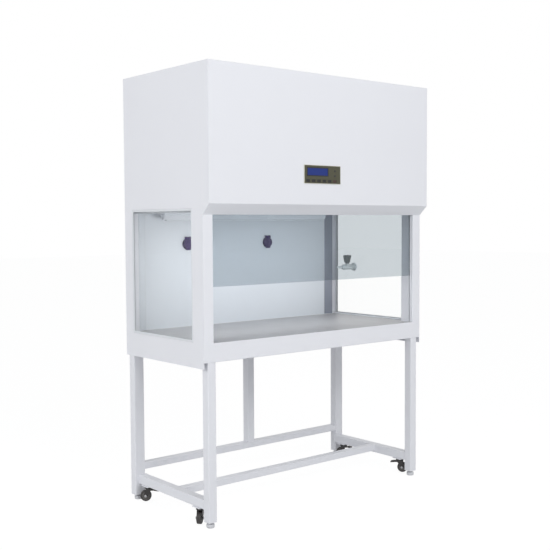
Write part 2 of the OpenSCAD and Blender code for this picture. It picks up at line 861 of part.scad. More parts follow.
module socket_lid(x) {
    color(socket_purple) {
        translate([x, wall_y - 6.3, socket_z]) rotate([90, 0, 0]) difference() {
            union() {
                cylinder(r = socket_r - 1, h = 4);
                translate([0, 0, 4]) cylinder(r1 = socket_r - 1, r2 = socket_r - 5, h = 4);
            }
            translate([-25, socket_r - 10, -1]) cube([50, 20, 12]);
        }
        // Barrel and pin
        translate([x, lid_y, lid_z]) rotate([0, 90, 0]) {
            translate([0, 0, -8.7]) cylinder(r = 4, h = 17.4);
            translate([0, 0, -12.6]) cylinder(r = lid_pin_r, h = 25.2);
        }
        box(x - 8.7, x + 8.7, wall_y - 12.5, wall_y - 6.3, socket_z + socket_r - 12, lid_z);
    }
}

module left_socket_lid() { socket_lid(left_socket_x); }
module right_socket_lid() { socket_lid(right_socket_x); }

// Gas tap through the right window, its nozzle pointing into the chamber
module gas_tap() {
    color([0.75, 0.76, 0.77]) translate([tap_x, tap_cy, tap_z]) {
        rotate([0, -90, 0]) rotate_extrude() polygon([[0, 0], [20, 0], [20, 7], [17, 10],
            [tap_r - 2, 10], [tap_r - 2, 20], [tap_r, 22], [tap_r, 78], [tap_r - 3, 84],
            [6.5, 86], [4.5, 90], [4.5, 94], [6, 98], [4.5, 104], [6, 108], [4.5, 114],
            [5.6, 118], [4, tap_l], [0, tap_l]]);
        rotate([0, 90, 0]) cylinder(r = 9.8, h = glass_t + 4);
        translate([glass_t, 0, 0]) rotate([0, 90, 0]) cylinder(r = 15, h = 4, $fn = 6);
        translate([knob_x - tap_x, 0, 0]) cylinder(r = 8, h = tap_r + 4);
        translate([knob_x - tap_x, 0, 0]) cylinder(r = 3.5, h = tap_r + 20);
    }
}

module gas_knob() {
    lobes = 6;
    color([0.22, 0.23, 0.22]) translate([knob_x, tap_cy, knob_z]) difference() {
        union() {
            cylinder(r = knob_r * 0.5, h = knob_h * 0.14);
            translate([0, 0, knob_h * 0.14])
                cylinder(r1 = knob_r * 0.7, r2 = knob_r * 0.96, h = knob_h * 0.62);
            translate([0, 0, knob_h * 0.76]) cylinder(r = knob_r, h = knob_h * 0.18);
            translate([0, 0, knob_h * 0.94]) cylinder(r1 = knob_r, r2 = knob_r - 3, h = knob_h * 0.06);
        }
        translate([0, 0, -1]) cylinder(r = 3.5 + run_clear, h = 18);
        for (i = [0 : lobes - 1]) rotate(i * 360 / lobes)
            translate([knob_r + 3, 0, knob_h * 0.4]) cylinder(r = 5, h = knob_h);
    }
}

// The power inlet, flush in the back cover
module power_inlet() {
    color([0.12, 0.12, 0.13]) translate([inlet_x, back_y, inlet_z + inlet_h / 2]) difference() {
        box(-inlet_w / 2, inlet_w / 2, -18, 0, -inlet_h / 2, inlet_h / 2);
        box(-inlet_w / 2 + 3, inlet_w / 2 - 3, -14, 1, -inlet_h / 2 + 3, inlet_h / 2 - 3);
    }
}

// Stand: one welded end, with its two legs, its top rail, its side bar and the castor plates
module leg_with_nut(x, y, w) {
    difference() {
        union() {
            translate([x, y, foot_h]) tube(w, leg, slab_z - foot_h);
            translate([x, y, foot_h]) linear_extrude(4) rounded_square(w, leg, tube_r);
            translate([x + w / 2, y + leg / 2, foot_h + 4 - eps]) cylinder(r = stem_r + 5, h = 16);
        }
        translate([x + w / 2, y + leg / 2, foot_h - 1]) cylinder(r = stem_r + 2 * run_clear, h = 24);
    }
}

module end_frame() {
    leg_with_nut(-leg_x, leg_y, leg);
    leg_with_nut(-inner_w, rear_leg_y, rear_leg_w);
    translate([-leg_x, bar_y0, slab_z - leg]) tube_y(leg, leg, rear_leg_y - bar_y0);
    translate([-leg_x, bar_y0, side_bar_z]) tube_y(leg, leg, rear_leg_y - bar_y0);
    for (y = [front_castor_y, rear_castor_y]) translate([-castor_x, y, 0]) {
        box(-plate_w / 2, plate_w / 2, -plate_w / 2, plate_w / 2, side_bar_z - plate_t, side_bar_z);
        translate([0, 0, head_z0 - 0.5]) cylinder(r = kingpin_r, h = side_bar_z - head_z0);
        translate([0, 0, head_z0 - 3.3]) cylinder(r = 8, h = 3);
    }
}

module left_end_frame() {
    color(steel_white) end_frame();
}

module right_end_frame() {
    color(steel_white) mirrored(true) end_frame();
}

module front_rail() {
    x = leg_x - leg;
    color(steel_white) translate([-x, leg_y, slab_z - leg]) tube_x(leg, leg, 2 * x);
}

module rear_frame() {
    x = inner_w - rear_leg_w;
    color(steel_white) {
        translate([-x, rear_leg_y, slab_z - leg]) tube_x(leg, leg, 2 * x);
        translate([-x, rear_leg_y, rear_bar_z]) tube_x(leg, bar_h, 2 * x);
        translate([mid_post_x - leg / 2, rear_leg_y, rear_bar_z + bar_h])
            tube(leg, leg, slab_z - leg - rear_bar_z - bar_h);
    }
}

module cross_bar() {
    x = leg_x - leg;
    color(steel_white) translate([-x, post_y + cross_y, cross_z]) tube_x(leg, bar_h, 2 * x);
}

// Castors, modelled with the swivel axis at x = y = 0 and the wheel trailing along +X
module fork_shape() {
    difference() {
        union() {
            translate([0, 0, head_z0]) cylinder(r = head_r, h = head_z1 - head_z0);
            for (s = [-1, 1])
                translate([0, s > 0 ? cheek_in + cheek_t : -cheek_in, 0]) rotate([90, 0, 0])
                    linear_extrude(cheek_t) hull() {
                        translate([-11, head_z0]) square([24, 3]);
                        translate([castor_trail, axle_z]) circle(axle_r + 5, $fn = 32);
                        translate([pivot_x, pivot_z]) circle(pedal_pin_r + 3, $fn = 32);
                    }
        }
        translate([0, 0, head_z0 - 1]) cylinder(r = kingpin_r + run_clear, h = 20);
        translate([pivot_x, 30, pivot_z]) rotate([90, 0, 0])
            cylinder(r = pedal_pin_r + run_clear, h = 60);
    }
    translate([castor_trail, cheek_in + cheek_t + 1, axle_z]) rotate([90, 0, 0])
        cylinder(r = axle_r, h = 2 * (cheek_in + cheek_t + 1));
    for (s = [-1, 1])
        translate([castor_trail, s > 0 ? cheek_in + cheek_t + 2 : -cheek_in - cheek_t, axle_z])
            rotate([90, 0, 0]) cylinder(r = axle_r + 2, h = 2);
}

module wheel_shape() {
    tread = wheel_w / 2;
    hub = wheel_w / 2 + 0.3;
    translate([castor_trail, 0, axle_z]) rotate([90, 0, 0]) rotate_extrude($fn = 64)
        polygon([[axle_r + run_clear, -hub], [axle_r + 5, -hub], [axle_r + 6, -tread + 3],
            [wheel_r - 6, -tread + 3], [wheel_r - 5, -tread], [wheel_r - 2, -tread],
            [wheel_r, -tread + 3], [wheel_r, tread - 3], [wheel_r - 2, tread],
            [wheel_r - 5, tread], [wheel_r - 6, tread - 3], [axle_r + 6, tread - 3],
            [axle_r + 5, hub], [axle_r + run_clear, hub]]);
}

module pedal_shape() {
    lobe_w = cheek_in - 0.4;
    toe = pedal_reach + pivot_x;
    translate([pivot_x, 0, pivot_z]) mirror([1, 0, 0]) {
        rotate([90, 0, 0]) translate([0, 0, -cheek_in - cheek_t - 0.5])
            cylinder(r = pedal_pin_r, h = 2 * (cheek_in + cheek_t) + 1);
        translate([1.2, 0, -0.8]) rotate([90, 0, 0]) translate([0, 0, -lobe_w])
            cylinder(r = lobe_r, h = 2 * lobe_w);
        translate([0, lobe_w, 0]) rotate([90, 0, 0]) linear_extrude(2 * lobe_w)
            polygon([[-2, 1], [-1, 4], [toe * 0.5, 4], [toe * 0.5, 0], [2, -1]]);
        translate([0, lobe_w + 2, 0]) rotate([90, 0, 0]) linear_extrude(2 * lobe_w + 4)
            polygon([[toe * 0.42, 4], [toe * 0.72, 3], [toe, -1], [toe - 1, -3.5],
                [toe * 0.7, 0], [toe * 0.42, 0.5]]);
    }
}

module at_castor(right, rear, turn) {
    translate([right ? castor_x : -castor_x, rear ? rear_castor_y : front_castor_y, 0])
        rotate(turn) children();
}

module fork(right, rear, turn) {
    color(castor_black) at_castor(right, rear, turn) fork_shape();
}

module wheel(right, rear, turn) {
    color(castor_black) at_castor(right, rear, turn) wheel_shape();
}

module pedal(right, rear, turn) {
    color(castor_black) at_castor(right, rear, turn) pedal_shape();
}

module front_left_fork() { fork(false, false, front_left_turn); }
module front_left_wheel() { wheel(false, false, front_left_turn); }
module front_left_pedal() { pedal(false, false, front_left_turn); }
module front_right_fork() { fork(true, false, front_right_turn); }
module front_right_wheel() { wheel(true, false, front_right_turn); }
module front_right_pedal() { pedal(true, false, front_right_turn); }
module rear_left_fork() { fork(false, true, rear_left_turn); }
module rear_left_wheel() { wheel(false, true, rear_left_turn); }
module rear_left_pedal() { pedal(false, true, rear_left_turn); }
module rear_right_fork() { fork(true, true, rear_right_turn); }
module rear_right_wheel() { wheel(true, true, rear_right_turn); }
module rear_right_pedal() { pedal(true, true, rear_right_turn); }

// A levelling foot: a rounded cup on the floor and a stem up into the leg
module foot(x, y) {
    color([0.55, 0.56, 0.57]) translate([x, y, 0]) {
        rotate_extrude() polygon([[0, 0], [pad_r - 4, 0], [pad_r - 1.2, 2], [pad_r, 5],
            [pad_r, foot_h - 11], [pad_r - 1.5, foot_h - 8.5], [stem_r + 3, foot_h - 7.5],
            [0, foot_h - 7.5]]);
        cylinder(r = stem_r, h = foot_h + 34);
    }
}

front_foot_x = leg_x - leg / 2;
rear_foot_x = inner_w - rear_leg_w / 2;
front_foot_y = leg_y + leg / 2;
rear_foot_y = rear_leg_y + leg / 2;

module front_left_foot() { foot(-front_foot_x, front_foot_y); }
module front_right_foot() { foot(front_foot_x, front_foot_y); }
module rear_left_foot() { foot(-rear_foot_x, rear_foot_y); }
module rear_right_foot() { foot(rear_foot_x, rear_foot_y); }

left_side_panel();
right_side_panel();
left_front_post();
right_front_post();
back_cover();
back_wall();
front_apron();
worktop();
roof_panel();
front_cover();
left_glass();
right_glass();
window_gaskets();
sash_glass();
sash_guides();
hepa_filter();
diffuser_screen();
plenum_box();
blower_housing();
blower_motor();
impeller();
prefilter();
lamp_fixture();
uv_tube();
panel_bezel();
display();
key_1();
key_2();
key_3();
key_4();
key_5();
key_6();
control_box();
sockets();
left_socket_lid();
right_socket_lid();
gas_tap();
gas_knob();
power_inlet();
left_end_frame();
right_end_frame();
front_rail();
rear_frame();
cross_bar();
front_left_fork();
front_left_wheel();
front_left_pedal();
front_right_fork();
front_right_wheel();
front_right_pedal();
rear_left_fork();
rear_left_wheel();
rear_left_pedal();
rear_right_fork();
rear_right_wheel();
rear_right_pedal();
front_left_foot();
front_right_foot();
rear_left_foot();
rear_right_foot();
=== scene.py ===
# %% [markdown]
# # A laminar flow hood, dressed in Blender
# A laminar flow hood is a clean bench. A blower in the top presses room air through a paper
# filter, and the clean air falls over the worktop. This lesson takes the hood's solids from the
# drawing program, gives every one a finish, adds the small parts that the eye looks for, and
# lights the whole as a catalogue would.

# %% The frame
import json
import math
import bpy
from mathutils import Matrix, Vector


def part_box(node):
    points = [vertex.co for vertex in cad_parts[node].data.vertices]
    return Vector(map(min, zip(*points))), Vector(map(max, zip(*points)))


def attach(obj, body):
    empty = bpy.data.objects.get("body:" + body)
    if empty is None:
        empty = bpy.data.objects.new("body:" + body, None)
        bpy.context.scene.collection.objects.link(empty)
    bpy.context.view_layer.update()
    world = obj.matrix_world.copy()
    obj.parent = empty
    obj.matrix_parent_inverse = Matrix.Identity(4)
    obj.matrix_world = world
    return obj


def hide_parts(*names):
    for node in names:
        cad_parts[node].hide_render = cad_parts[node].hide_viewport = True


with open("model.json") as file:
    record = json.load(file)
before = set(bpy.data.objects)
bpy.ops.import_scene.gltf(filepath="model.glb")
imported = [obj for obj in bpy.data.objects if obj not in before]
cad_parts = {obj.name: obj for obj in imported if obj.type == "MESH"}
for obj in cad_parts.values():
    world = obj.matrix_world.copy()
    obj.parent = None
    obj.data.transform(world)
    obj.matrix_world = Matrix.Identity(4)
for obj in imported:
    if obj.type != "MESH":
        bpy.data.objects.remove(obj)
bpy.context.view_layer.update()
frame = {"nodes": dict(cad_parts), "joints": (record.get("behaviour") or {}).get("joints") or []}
nodes = frame["nodes"]
joints = {j["name"]: j for j in frame["joints"]}
print("solids:", len(nodes), "joints:", len(joints))

# %% [markdown]
# ## The camera
# The camera stands to the left of the front at chest height, about four metres away. A lens of
# 60 mm keeps the edges almost parallel. The camera could be aimed by a Track To constraint, but
# a direction and a small roll, as of a camera held not quite level, can be written down exactly.
# It is placed first, because every later choice is judged through it.

# %% Camera
EYE = (-2.7864, -3.3013, 1.2501)
LOOK = (0.6381, 0.7680, -0.0555)
ROLL = -0.0056
FOCAL_LENGTH = 60.2


def place_camera():
    data = bpy.data.cameras.new("camera")
    data.lens = FOCAL_LENGTH
    data.sensor_width = 36.0
    data.clip_end = 60.0
    camera = bpy.data.objects.new("camera", data)
    bpy.context.scene.collection.objects.link(camera)
    camera.location = EYE
    level = Vector(LOOK).normalized().to_track_quat("-Z", "Y").to_matrix().to_4x4()
    turn = level @ Matrix.Rotation(ROLL, 4, "Z")
    camera.rotation_euler = turn.to_euler()
    bpy.context.scene.camera = camera
    return camera


camera = place_camera()
print("camera at", tuple(round(v, 3) for v in camera.location))

# %% [markdown]
# ## Shared effects
# Three effects come back in many finishes: the fine grain of powder coat, the long scratches of
# brushed metal, and the faint clouding that handling leaves. Each is a node group, built once.
# A group gives out only values, and the shader itself stays in each material.

# %% Groups and noise
def new_group(name, inputs, outputs):
    group = bpy.data.node_groups.new(name, "ShaderNodeTree")
    for label, value in inputs.items():
        socket = group.interface.new_socket(name=label, in_out="INPUT",
                                            socket_type="NodeSocketFloat")
        socket.default_value = value
    for label in outputs:
        group.interface.new_socket(name=label, in_out="OUTPUT", socket_type="NodeSocketFloat")
    return group, group.nodes.new("NodeGroupInput"), group.nodes.new("NodeGroupOutput")


def new_noise(group, detail, scale=1.0):
    noise = group.nodes.new("ShaderNodeTexNoise")
    noise.inputs["Scale"].default_value = scale
    noise.inputs["Detail"].default_value = detail
    return noise


print("groups take numbers in and give numbers out")

# %% [markdown]
# Powder coat melts to a skin like orange peel. A fine noise gives its height, and a very broad
# one gives the slow change of tone over a large sheet. A picture could do the same, but it would
# show its seams.

# %% Powder grain
def grain_group():
    group, given, out = new_group("powder_grain", {"Scale": 900.0}, ["Height", "Tone"])
    place = group.nodes.new("ShaderNodeTexCoord")
    fine = new_noise(group, 3.0)
    broad = new_noise(group, 2.0, 2.3)
    link = group.links.new
    link(place.outputs["Object"], fine.inputs["Vector"])
    link(place.outputs["Object"], broad.inputs["Vector"])
    link(given.outputs["Scale"], fine.inputs["Scale"])
    link(fine.outputs["Fac"], out.inputs["Height"])
    link(broad.outputs["Fac"], out.inputs["Tone"])
    return group


GRAIN = grain_group()
print("shared effect:", GRAIN.name)

# %% [markdown]
# Brushed metal has long scratches in one direction. The noise is the same as for the grain, but
# its space is stretched: small steps across the scratches and long ones along them.

# %% Brushed lines
def brushed_group():
    group, given, out = new_group("brushed_lines", {"Along": 4.0, "Across": 1400.0},
                                  ["Height", "Tone"])
    place = group.nodes.new("ShaderNodeTexCoord")
    stretch = group.nodes.new("ShaderNodeMapping")
    scale = group.nodes.new("ShaderNodeCombineXYZ")
    lines = new_noise(group, 4.0)
    link = group.links.new
    link(given.outputs["Along"], scale.inputs["X"])
    link(given.outputs["Across"], scale.inputs["Y"])
    link(given.outputs["Across"], scale.inputs["Z"])
    link(place.outputs["Object"], stretch.inputs["Vector"])
    link(scale.outputs["Vector"], stretch.inputs["Scale"])
    link(stretch.outputs["Vector"], lines.inputs["Vector"])
    link(lines.outputs["Fac"], out.inputs["Height"])
    link(lines.outputs["Fac"], out.inputs["Tone"])
    return group


BRUSHED = brushed_group()
print("shared effect:", BRUSHED.name)

# %% [markdown]
# Hands and cloths leave a surface a little glossier in some places than in others. A soft noise
# is spread over the range of gloss that the finish asks for.

# %% Handling cloud
def cloud_group():
    group, given, out = new_group("handling_cloud", {"Scale": 9.0, "Low": 0.3, "High": 0.4},
                                  ["Roughness"])
    place = group.nodes.new("ShaderNodeTexCoord")
    noise = new_noise(group, 5.0)
    spread = group.nodes.new("ShaderNodeMapRange")
    spread.inputs["From Min"].default_value = 0.3
    spread.inputs["From Max"].default_value = 0.7
    link = group.links.new
    link(place.outputs["Object"], noise.inputs["Vector"])
    link(given.outputs["Scale"], noise.inputs["Scale"])
    link(noise.outputs["Fac"], spread.inputs["Value"])
    link(given.outputs["Low"], spread.inputs["To Min"])
    link(given.outputs["High"], spread.inputs["To Max"])
    link(spread.outputs["Result"], out.inputs["Roughness"])
    return group


CLOUD = cloud_group()
print("shared effect:", CLOUD.name)

# %% [markdown]
# ## Finishes
# A finish is a Principled shader fed by the shared effects. `finish` takes the colour as a
# person sees it, the range of gloss, how metallic it is, and how much grain it has. The two ends
# of the colour mix lie close together, so that a large sheet isn't one dead tone.

# %% A finish
def seen(r, g, b):
    """A colour of 0 to 255, as seen, in the linear values that a shader needs."""
    def linear(v):
        v = v / 255.0
        return v / 12.92 if v <= 0.04045 else ((v + 0.055) / 1.055) ** 2.4
    return (linear(r), linear(g), linear(b), 1.0)


def put_group(material, group, **values):
    node = material.node_tree.nodes.new("ShaderNodeGroup")
    node.node_tree = group
    for label, value in values.items():
        node.inputs[label].default_value = value
    return node


def finish(name, colour, gloss=(0.35, 0.42), metallic=0.0, tone=0.04, bump=0.04, effect=GRAIN,
           cloud=9.0, coat=0.0, specular=0.5, **values):
    material = bpy.data.materials.new(name)
    material.use_nodes = True
    tree = material.node_tree
    shader = tree.nodes["Principled BSDF"]
    shader.inputs["Metallic"].default_value = metallic
    shader.inputs["Coat Weight"].default_value = coat
    shader.inputs["Specular IOR Level"].default_value = specular
    pattern = put_group(material, effect, **values)
    clouds = put_group(material, CLOUD, Scale=cloud, Low=gloss[0], High=gloss[1])
    mix = tree.nodes.new("ShaderNodeMix")
    mix.data_type = "RGBA"
    shade = 1.0 - tone
    mix.inputs[6].default_value = [c * shade for c in colour[:3]] + [1.0]
    mix.inputs[7].default_value = [min(1.0, c * (1.0 + tone)) for c in colour[:3]] + [1.0]
    height = tree.nodes.new("ShaderNodeBump")
    height.inputs["Strength"].default_value = bump
    height.inputs["Distance"].default_value = 0.0006
    tree.links.new(pattern.outputs["Tone"], mix.inputs[0])
    tree.links.new(mix.outputs[2], shader.inputs["Base Color"])
    tree.links.new(clouds.outputs["Roughness"], shader.inputs["Roughness"])
    tree.links.new(pattern.outputs["Height"], height.inputs["Height"])
    tree.links.new(height.outputs["Normal"], shader.inputs["Normal"])
    return material


print("a finish takes a colour, a gloss and a grain")

# %% [markdown]
# Each finish is now one line. The colours differ only a little between the painted sheets, as on
# a real hood, where they come out of the same paint shop. Bare metal is clouded more than paint,
# and rubber and paper are the roughest.

# %% All finishes
WHITE_COAT = finish("white_powder_coat", seen(232, 233, 238), gloss=(0.38, 0.46), tone=0.012,
                    bump=0.05)
STAND_COAT = finish("stand_powder_coat", seen(230, 231, 236), gloss=(0.36, 0.44), tone=0.014,
                    bump=0.05)
WALL_COAT = finish("chamber_coat", seen(213, 218, 224), gloss=(0.36, 0.44), tone=0.012, bump=0.03)
STEEL_TOP = finish("brushed_worktop", seen(180, 180, 182), gloss=(0.42, 0.50), metallic=0.25,
                   tone=0.04, bump=0.05, effect=BRUSHED, Along=3.0, Across=1100.0)
ZINC = finish("zinc_plate", seen(150, 150, 152), gloss=(0.34, 0.5), metallic=0.9, tone=0.10,
              bump=0.05, cloud=60.0, Scale=1600.0)
GALVANISED = finish("galvanised_sheet", seen(184, 187, 190), gloss=(0.38, 0.55), metallic=0.85,
                    tone=0.12, bump=0.04, cloud=30.0, Scale=300.0)
CHROME = finish("satin_chrome", seen(196, 198, 202), gloss=(0.16, 0.26), metallic=1.0, tone=0.05,
                bump=0.02, cloud=50.0, Scale=2500.0)
TAP_NICKEL = finish("tap_nickel", seen(206, 211, 212), gloss=(0.28, 0.38), metallic=0.4, tone=0.03,
                    bump=0.02, cloud=50.0, Scale=2500.0)
MOTOR_ENAMEL = finish("motor_enamel", seen(108, 114, 122), gloss=(0.4, 0.55), tone=0.06,
                      bump=0.12, Scale=500.0)
LAMP_ENAMEL = finish("lamp_enamel", seen(200, 204, 210), gloss=(0.2, 0.3), tone=0.01, bump=0.02)
SEAL_RUBBER = finish("pale_seal_rubber", seen(226, 229, 233), gloss=(0.6, 0.75), tone=0.03,
                     bump=0.10, Scale=1200.0)
GUIDE_PLASTIC = finish("guide_plastic", seen(222, 224, 228), gloss=(0.45, 0.55), tone=0.02,
                       bump=0.04)
DARK_PLASTIC = finish("dark_castor_plastic", seen(44, 40, 40), gloss=(0.42, 0.58), tone=0.10,
                      bump=0.10, cloud=80.0, Scale=900.0)
TREAD = finish("castor_tread", seen(56, 53, 52), gloss=(0.5, 0.68), tone=0.12, bump=0.16,
               cloud=90.0, Scale=1500.0)
HUB_PLASTIC = finish("castor_hub", seen(92, 90, 88), gloss=(0.4, 0.5), tone=0.06, bump=0.06,
                     cloud=80.0)
PANEL_PLASTIC = finish("panel_plastic", seen(84, 83, 68), gloss=(0.5, 0.62), tone=0.05, bump=0.12,
                       specular=0.2, Scale=1500.0)
KEY_PLASTIC = finish("key_plastic", seen(30, 32, 30), gloss=(0.5, 0.6), tone=0.06, bump=0.06,
                     cloud=80.0)
BROWN_KEY_PLASTIC = finish("stop_key_plastic", seen(64, 46, 38), gloss=(0.5, 0.6), tone=0.06,
                           bump=0.06, cloud=80.0)
SOCKET_PLASTIC = finish("violet_socket_plastic", seen(58, 42, 92), gloss=(0.22, 0.34), tone=0.06,
                        bump=0.03, cloud=40.0, coat=0.2)
FORK_ENAMEL = finish("black_fork_enamel", seen(40, 38, 38), gloss=(0.32, 0.45), tone=0.08,
                     bump=0.05, cloud=70.0)
# painted shade: this dark colour stands in for the shade and the dark reflection in the rear right
# corner
PAINTED_SHADE_TRIM = finish("painted_shade_trim", seen(142, 147, 159), gloss=(0.35, 0.45), metallic=0.3,
                   tone=0.03, bump=0.03, effect=BRUSHED, Along=900.0, Across=3.0)
KNOB_PLASTIC = finish("tap_knob_plastic", seen(92, 98, 98), gloss=(0.25, 0.38), tone=0.06,
                      bump=0.03, cloud=40.0)
BLACK_PLASTIC = finish("inlet_plastic", seen(30, 30, 32), gloss=(0.4, 0.55), tone=0.08,
                       bump=0.08, cloud=60.0)
FOOT_PLASTIC = finish("foot_plastic", seen(205, 206, 210), gloss=(0.4, 0.5), tone=0.03,
                      bump=0.05, cloud=50.0)
FILTER_PAPER = finish("filter_paper", seen(238, 238, 231), gloss=(0.85, 0.95), tone=0.05,
                      bump=0.35, Scale=700.0)
SEALANT = finish("silicone_bead", seen(214, 216, 219), gloss=(0.28, 0.36), tone=0.01, bump=0.02)
WELD = finish("painted_weld", seen(228, 229, 234), gloss=(0.34, 0.44), tone=0.02, bump=0.5,
              Scale=260.0)
print("finishes:", len(bpy.data.materials))

# %% [markdown]
# ## Glass
# Window glass is clear, and the sash has a weak grey-blue tint. Real glass takes its tint from
# its depth, but a pane of one thickness may carry it in its base colour. Metallic and
# transmission stay plain numbers, so that the pane also exports as glass.

# %% Glass
def glass(name, colour, roughness=0.0, ior=1.45):
    material = finish(name, colour, gloss=(roughness, roughness + 0.004), tone=0.004,
                      bump=0.004, Scale=20.0)
    shader = material.node_tree.nodes["Principled BSDF"]
    shader.inputs["Transmission Weight"].default_value = 1.0
    shader.inputs["IOR"].default_value = ior
    return material


CLEAR_GLASS = glass("clear_window_glass", (0.99, 0.995, 0.992, 1.0), ior=1.18)
SASH_GLASS = glass("tinted_sash_glass", (0.604, 0.648, 0.678, 1.0), ior=1.3)
TUBE_GLASS = glass("quartz_tube", (0.93, 0.95, 0.97, 1.0), 0.05)
LENS_PLASTIC = finish("lamp_lens", seen(204, 208, 213), gloss=(0.25, 0.35), tone=0.01,
                      bump=0.03, Scale=400.0)


def display_material():
    """A backlit blue field with a fine grid of picture points, weakly lit from behind."""
    material = finish("blue_display", seen(34, 48, 106), gloss=(0.30, 0.38), tone=0.05, bump=0.0,
                      specular=0.15)
    tree = material.node_tree
    shader = tree.nodes["Principled BSDF"]
    place = tree.nodes.new("ShaderNodeTexCoord")
    wave = tree.nodes.new("ShaderNodeTexWave")
    wave.bands_direction = "Z"
    wave.inputs["Scale"].default_value = 160.0
    ramp = tree.nodes.new("ShaderNodeValToRGB")
    ramp.color_ramp.elements[0].color = (0.010, 0.018, 0.10, 1)
    ramp.color_ramp.elements[1].color = (0.016, 0.030, 0.16, 1)
    tree.links.new(place.outputs["Object"], wave.inputs["Vector"])
    tree.links.new(wave.outputs["Fac"], ramp.inputs["Fac"])
    tree.links.new(ramp.outputs["Color"], shader.inputs["Emission Color"])
    shader.inputs["Emission Strength"].default_value = 0.5
    return material


DISPLAY_BLUE = display_material()
print("glass and display:", CLEAR_GLASS.name, SASH_GLASS.name, DISPLAY_BLUE.name)

# %% [markdown]
# ## Finishes on the solids
# The solids that came from the drawing keep their meshes, and each only gets its finish. They
# could be dressed one by one, but a table shows at a glance what is made of what. The wheels,
# the keys and the feet are in it too, though finer pieces stand in for them later.

# %% Finishes on the solids
FINISH_OF = {
    "left_side_panel right_side_panel left_front_post right_front_post "
    "back_cover front_apron": WHITE_COAT,
    "roof_panel front_cover plenum_box": WHITE_COAT,
    "left_end_frame right_end_frame front_rail rear_frame cross_bar": STAND_COAT,
    "back_wall diffuser_screen": WALL_COAT,
    "worktop": STEEL_TOP,
    "left_glass right_glass": CLEAR_GLASS,
    "sash_glass": SASH_GLASS,
    "window_gaskets": SEAL_RUBBER,
    "sash_guides": GUIDE_PLASTIC,
    "hepa_filter prefilter": FILTER_PAPER,
    "blower_housing impeller control_box": GALVANISED,
    "blower_motor": MOTOR_ENAMEL,
    "lamp_fixture": LAMP_ENAMEL,
    "uv_tube": TUBE_GLASS,
    "panel_bezel": PANEL_PLASTIC,
    "display": DISPLAY_BLUE,
    "key_1 key_2 key_3 key_4 key_5": KEY_PLASTIC,
    "key_6": BROWN_KEY_PLASTIC,
    "sockets left_socket_lid right_socket_lid": SOCKET_PLASTIC,
    "gas_tap": TAP_NICKEL,
    "gas_knob": KNOB_PLASTIC,
    "power_inlet": BLACK_PLASTIC,
    "front_left_fork front_right_fork rear_left_fork rear_right_fork": FORK_ENAMEL,
    "front_left_wheel front_right_wheel rear_left_wheel rear_right_wheel": TREAD,
    "front_left_pedal front_right_pedal rear_left_pedal rear_right_pedal": DARK_PLASTIC,
    "front_left_foot front_right_foot rear_left_foot rear_right_foot": FOOT_PLASTIC,
}
dressed = 0
for names, material in FINISH_OF.items():
    for name in names.split():
        mesh = nodes[name].data
        mesh.materials.clear()
        mesh.materials.append(material)
        dressed += 1
print("dressed solids:", dressed, "of", len(nodes))

# %% [markdown]
# ## Tools for new pieces
# New pieces start as a primitive of the right size. A block gets bevelled edges. A turned piece
# starts as a disc, which is extruded and scaled ring by ring, as a lathe tool follows a profile.
# A finished piece has its place in its mesh, so its object stands at the origin.

# %% Tools for new pieces
def deselect():
    if bpy.context.object and bpy.context.object.mode != "OBJECT":
        bpy.ops.object.mode_set(mode="OBJECT")
    bpy.ops.object.select_all(action="DESELECT")


def apply_modifiers(piece):
    bpy.context.view_layer.objects.active = piece
    for modifier in list(piece.modifiers):
        bpy.ops.object.modifier_apply(modifier=modifier.name)


def bevelled(piece, width, segments=3, angle=35):
    modifier = piece.modifiers.new("bevel", "BEVEL")
    modifier.width = width
    modifier.segments = segments
    modifier.limit_method = "ANGLE"
    modifier.angle_limit = math.radians(angle)
    apply_modifiers(piece)
    return piece


def done(piece, name, material, angle=32):
    """Names a piece, puts its place into its mesh, smooths it and gives it its finish."""
    deselect()
    piece.select_set(True)
    bpy.context.view_layer.objects.active = piece
    bpy.ops.object.transform_apply(location=True, rotation=True, scale=True)
    bpy.ops.object.shade_smooth_by_angle(angle=math.radians(angle))
    piece.name = name
    piece.data.name = name
    piece.data.materials.clear()
    piece.data.materials.append(material)
    return piece


def block(size, centre, bevel=0.0, segments=3):
    deselect()
    bpy.ops.mesh.primitive_cube_add(size=1.0, location=centre)
    piece = bpy.context.object
    piece.scale = size
    bpy.ops.object.transform_apply(location=False, rotation=False, scale=True)
    return bevelled(piece, bevel, segments) if bevel else piece


def turned(profile, sides=40):
    """Extrudes a disc along (radius, height) pairs, and leaves the piece on the Z axis."""
    deselect()
    radius, height = profile[0]
    bpy.ops.mesh.primitive_circle_add(vertices=sides, radius=radius, fill_type="NGON",
                                      location=(0, 0, 0))
    piece = bpy.context.object
    bpy.ops.object.mode_set(mode="EDIT")
    bpy.ops.mesh.select_all(action="SELECT")
    bpy.ops.transform.translate(value=(0, 0, height))
    for next_radius, next_height in profile[1:]:
        rise = next_height - height
        bpy.ops.mesh.extrude_region_move(TRANSFORM_OT_translate={"value": (0, 0, rise)})
        if abs(next_radius - radius) > 1e-7:
            ratio = next_radius / radius
            bpy.ops.transform.resize(value=(ratio, ratio, 1), center_override=(0, 0, next_height))
        radius, height = next_radius, next_height
    bpy.ops.mesh.select_all(action="SELECT")
    bpy.ops.mesh.normals_make_consistent(inside=False)
    bpy.ops.object.mode_set(mode="OBJECT")
    return piece


def aim(piece, place, direction=(0, 0, 1)):
    """Turns a piece's Z axis to a direction and moves it to its place."""
    turn = Vector(direction).to_track_quat("Z", "Y").to_matrix().to_4x4()
    piece.data.transform(Matrix.Translation(place) @ turn)
    return piece


def twin(piece, name, matrix):
    """A copy with its own mesh, moved by a matrix."""
    copy = piece.copy()
    copy.data = piece.data.copy()
    copy.name = name
    copy.data.name = name
    copy.data.transform(matrix)
    bpy.context.scene.collection.objects.link(copy)
    return copy


print("tools ready")

